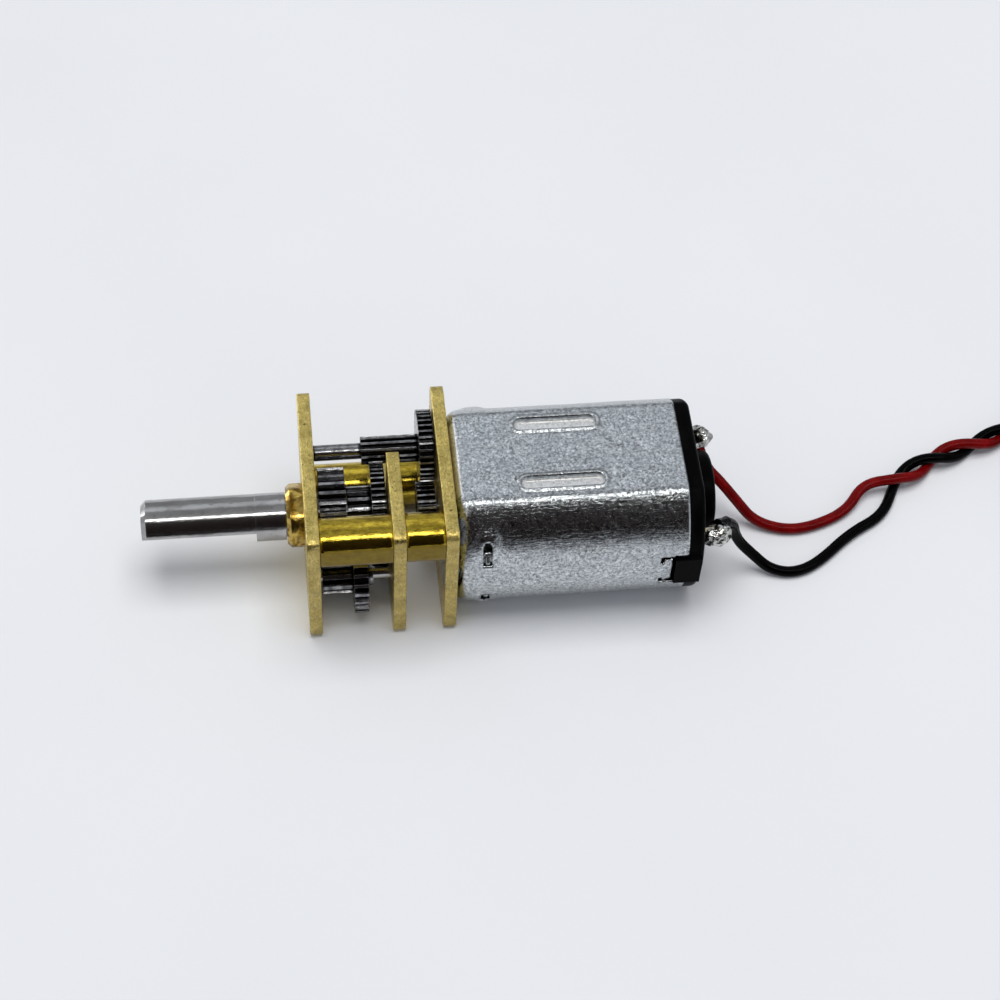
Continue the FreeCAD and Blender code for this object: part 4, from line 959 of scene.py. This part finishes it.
def make_posts(name, start, end, replaced):
    """Two turned posts, the side of each filed flush with the plates, its long edges rubbed round."""
    room = POST_SIDE - POST[0]
    shape = bmesh.new()
    for side in (1, -1):
        rings = []
        for x in steps_between([start, start + POST_EDGE, end - POST_EDGE, end], POST_GRID):
            ring = []
            for k in range(POST_AROUND):
                angle = 2 * math.pi * k / POST_AROUND
                across, up = math.cos(angle), math.sin(angle)
                limits = [POST_RADIUS]
                if across > 0.05:
                    limits.append(room / across)
                radius = sum(limit**-FILED_SHARPNESS for limit in limits) ** (-1 / FILED_SHARPNESS)
                wander = noise.noise(Vector((x * 0.5, across * 3, up * 3 + side)))
                radius += POST_WANDER * wander
                if x in (start, end):
                    radius -= POST_EDGE
                place = (x, side * (POST[0] + radius * across), -side * (POST[1] + radius * up))
                ring.append(shape.verts.new([MM * value for value in place]))
            rings.append(ring)
        join_rings(shape, rings)
        shape.faces.new(rings[0])
        shape.faces.new(rings[-1])
    bmesh.ops.recalc_face_normals(shape, faces=shape.faces)
    mesh = bpy.data.meshes.new(name)
    shape.to_mesh(mesh)
    shape.free()
    add_piece(mesh, name, "post_brass", replaced)


make_posts("front_post_bars", 0.8, 5.2, "front_posts")
make_posts("rear_post_bars", 6.0, 8.35, "rear_posts")

SOLDER_CENTRE = Vector((25.5, 3.85, 0.55))
SOLDER_STRETCH = Vector((1.12, 0.86, 1.0))
SOLDER_RADIUS, SOLDER_SWELL, SOLDER_FACETS, SOLDER_GRAIN = 0.80, 0.13, 0.26, 0.03


def make_solder():
    """A lump of solder on each terminal, swollen and dented, with facets where it froze."""
    shape = bmesh.new()
    for side in (1, -1):
        lump = bmesh.ops.create_icosphere(shape, subdivisions=5, radius=1.0)["verts"]
        centre = Vector((SOLDER_CENTRE.x, side * SOLDER_CENTRE.y, SOLDER_CENTRE.z))
        for vertex in lump:
            heading = vertex.co.normalized()
            swell = noise.noise(heading * 1.3 + Vector((side * 3.1, 2.0, 0.4)))
            cell = noise.voronoi(heading * 1.7 + Vector((side * 2.0, 5.0, 1.0)))[0]
            size = SOLDER_RADIUS + SOLDER_SWELL * swell
            size += SOLDER_FACETS * (cell[0] - 0.50)
            size += SOLDER_GRAIN * noise.noise(heading * 6.0)
            offset = Vector([a * b * size for a, b in zip(heading, SOLDER_STRETCH)])
            vertex.co = MM * (centre + offset)
    for face in shape.faces:
        face.smooth = True
    mesh = bpy.data.meshes.new("solder_lumps")
    shape.to_mesh(mesh)
    shape.free()
    add_piece(mesh, "solder_lumps", "solder", "solder_joints")


make_solder()

FLARE_STEPS, FLARE_AROUND, FLARE_WALL = 12, 28, 0.00006
FLARE_OVER, FLARE_UNEVEN, FLARE_WANDER, FLARE_TORN = 1.03, 0.8, 0.00004, 0.35


def make_flared_end(name, route, slot, length, flare, seed):
    """The shrunk and torn end of a lead's insulation where it was soldered."""
    start, onwards = Vector(route[0]), Vector(route[1])
    along = (onwards - start).normalized()
    side = along.orthogonal().normalized()
    other = along.cross(side)
    shape = bmesh.new()
    rings = []
    for step in range(FLARE_STEPS + 1):
        share = step / FLARE_STEPS
        ring = []
        for k in range(FLARE_AROUND):
            angle = 2 * math.pi * k / FLARE_AROUND
            here = Vector((math.cos(angle) * 1.2, math.sin(angle) * 1.2, seed + share * 2.2))
            wobble = noise.noise(here)
            opened = flare * (1 - share) ** 2 * (1 + FLARE_UNEVEN * wobble)
            radius = LEAD / 2 * (FLARE_OVER + opened) + FLARE_WANDER * wobble
            torn = length * (share - FLARE_TORN * (1 - share) * abs(wobble) * 2)
            outward = side * math.cos(angle) + other * math.sin(angle)
            ring.append(shape.verts.new(start + along * torn + outward * radius))
        rings.append(ring)
    join_rings(shape, rings)
    bmesh.ops.recalc_face_normals(shape, faces=shape.faces)
    mesh = bpy.data.meshes.new(name)
    shape.to_mesh(mesh)
    shape.free()
    piece = add_piece(mesh, name, slot)
    wall = piece.modifiers.new("wall", "SOLIDIFY")
    wall.thickness = FLARE_WALL
    wall.offset = -1.0


make_flared_end("black_end", BLACK_ROUTE, "black_insulation", 0.0011, 0.42, 2.0)
make_flared_end("red_end", RED_ROUTE, "red_insulation", 0.0009, 0.15, 9.0)

# ------------------------------------------------------------------ studio

FLOOR_HALF = 3.0
WORLD_STRENGTH = 0.435
KEY_HEIGHT, KEY_SIZE, KEY_POWER = 0.40, 0.27, 1.07
TABLE_GAP, TABLE_DARK = 0.0002, (0.020, 0.016, 0.015)


def make_floor():
    """Pale paper under the part."""
    mesh = bpy.data.meshes.new("floor")
    half = FLOOR_HALF
    corners = [(-half, -half, TABLE), (half, -half, TABLE), (half, half, TABLE), (-half, half, TABLE)]
    mesh.from_pydata(corners, [], [(0, 1, 2, 3)])
    floor = bpy.data.objects.new("floor", mesh)
    scene.collection.objects.link(floor)
    r = Recipe("floor_paper", Specular_IOR_Level=0.02)
    fibre = r.noise(0.0006, 4.0, rough=0.6)
    cloud = r.noise(0.03, 3.0)
    tone = r.mixed(r.spread(cloud, 0.3, 0.7), (0.815, 0.83, 0.865), (0.84, 0.855, 0.89))
    r.bump(fibre, 0.00001)
    floor.data.materials.append(r.done(tone, r.spread(fibre, 0.3, 0.7, 0.5, 0.62)))


def make_light(name, place, aim, size, power, colour):
    """A square area light that points at a place."""
    data = bpy.data.lights.new(name, "AREA")
    data.shape = "RECTANGLE"
    data.size = size
    data.size_y = size
    data.energy = power
    data.color = colour
    lamp = bpy.data.objects.new(name, data)
    lamp.location = place
    lamp.rotation_mode = "QUATERNION"
    lamp.rotation_quaternion = (Vector(aim) - Vector(place)).to_track_quat("-Z", "Y")
    scene.collection.objects.link(lamp)
    return lamp


def make_card(name, corners, colour, glow=0.0):
    """A card that only shows in reflections, dark or glowing, with a soft patchy tone."""
    mesh = bpy.data.meshes.new(name)
    mesh.from_pydata(corners, [], [(0, 1, 2, 3)])
    card = bpy.data.objects.new(name, mesh)
    scene.collection.objects.link(card)
    r = Recipe(name, Roughness=1.0, Specular_IOR_Level=0.0)
    patch = r.noise(0.12, 3.0)
    tone = r.mixed(r.spread(patch, 0.3, 0.7), colour, tuple(0.55 * c for c in colour))
    if glow:
        r.shader.inputs["Emission Strength"].default_value = glow
        card.data.materials.append(r.done(tone, Emission_Color=tone))
    else:
        card.data.materials.append(r.done(tone))
    for ray in ("camera", "diffuse", "transmission", "volume_scatter", "shadow"):
        setattr(card, f"visible_{ray}", False)


def make_world():
    """Even pale light from all round."""
    world = bpy.data.worlds.new("room")
    world.use_nodes = True
    back = world.node_tree.nodes["Background"]
    back.inputs["Color"].default_value = (0.93, 0.955, 1.0, 1.0)
    back.inputs["Strength"].default_value = WORLD_STRENGTH
    scene.world = world


make_floor()
make_world()
key = make_light(
    "key", (0.012, 0.01, KEY_HEIGHT), (0.012, 0.0, 0.0), KEY_SIZE, KEY_POWER, (1.0, 0.99, 0.97)
)
key.visible_glossy = False


def card_across(name, y_low, z_low, y_high, z_high, half, colour, glow=0.0):
    """A reflection card that runs along X beside or over the part."""
    corners = [
        (-half, y_low, z_low), (half, y_low, z_low), (half, y_high, z_high), (-half, y_high, z_high),
    ]
    make_card(name, corners, colour, glow)


def card_on_table(name, x_low, x_high, y_low, y_high):
    """A dark card flat on the table beside the part."""
    low = TABLE + TABLE_GAP
    corners = [(x_low, y_low, low), (x_high, y_low, low), (x_high, y_high, low), (x_low, y_high, low)]
    make_card(name, corners, TABLE_DARK)


card_across("dark_side", -0.30, TABLE + 0.001, -0.30, 0.64, 0.2, (0.042, 0.031, 0.030))
make_card(
    "left_window",
    [(-0.28, 0.11, 0.0), (-0.14, 0.26, 0.0), (-0.14, 0.26, 0.105), (-0.28, 0.11, 0.105)],
    (1.0, 1.0, 1.0), 4.0,
)
card_on_table("dark_table", -0.9, 0.9, -0.30, -0.10)
# Painted shade: a dark card, seen only in reflections, standing in for the table in shadow where the
# shaft's underside reflects it.
card_on_table("shaft_shade", -0.3, 0.0, -0.10, -0.021)
card_across("bright_strip", -0.174, 0.40, -0.141, 0.42, 0.5, (1.0, 0.99, 0.97), 15.0)
card_across("far_sky", 0.19, 0.43, 0.42, 0.33, 0.5, (0.95, 0.975, 1.0), 0.60)
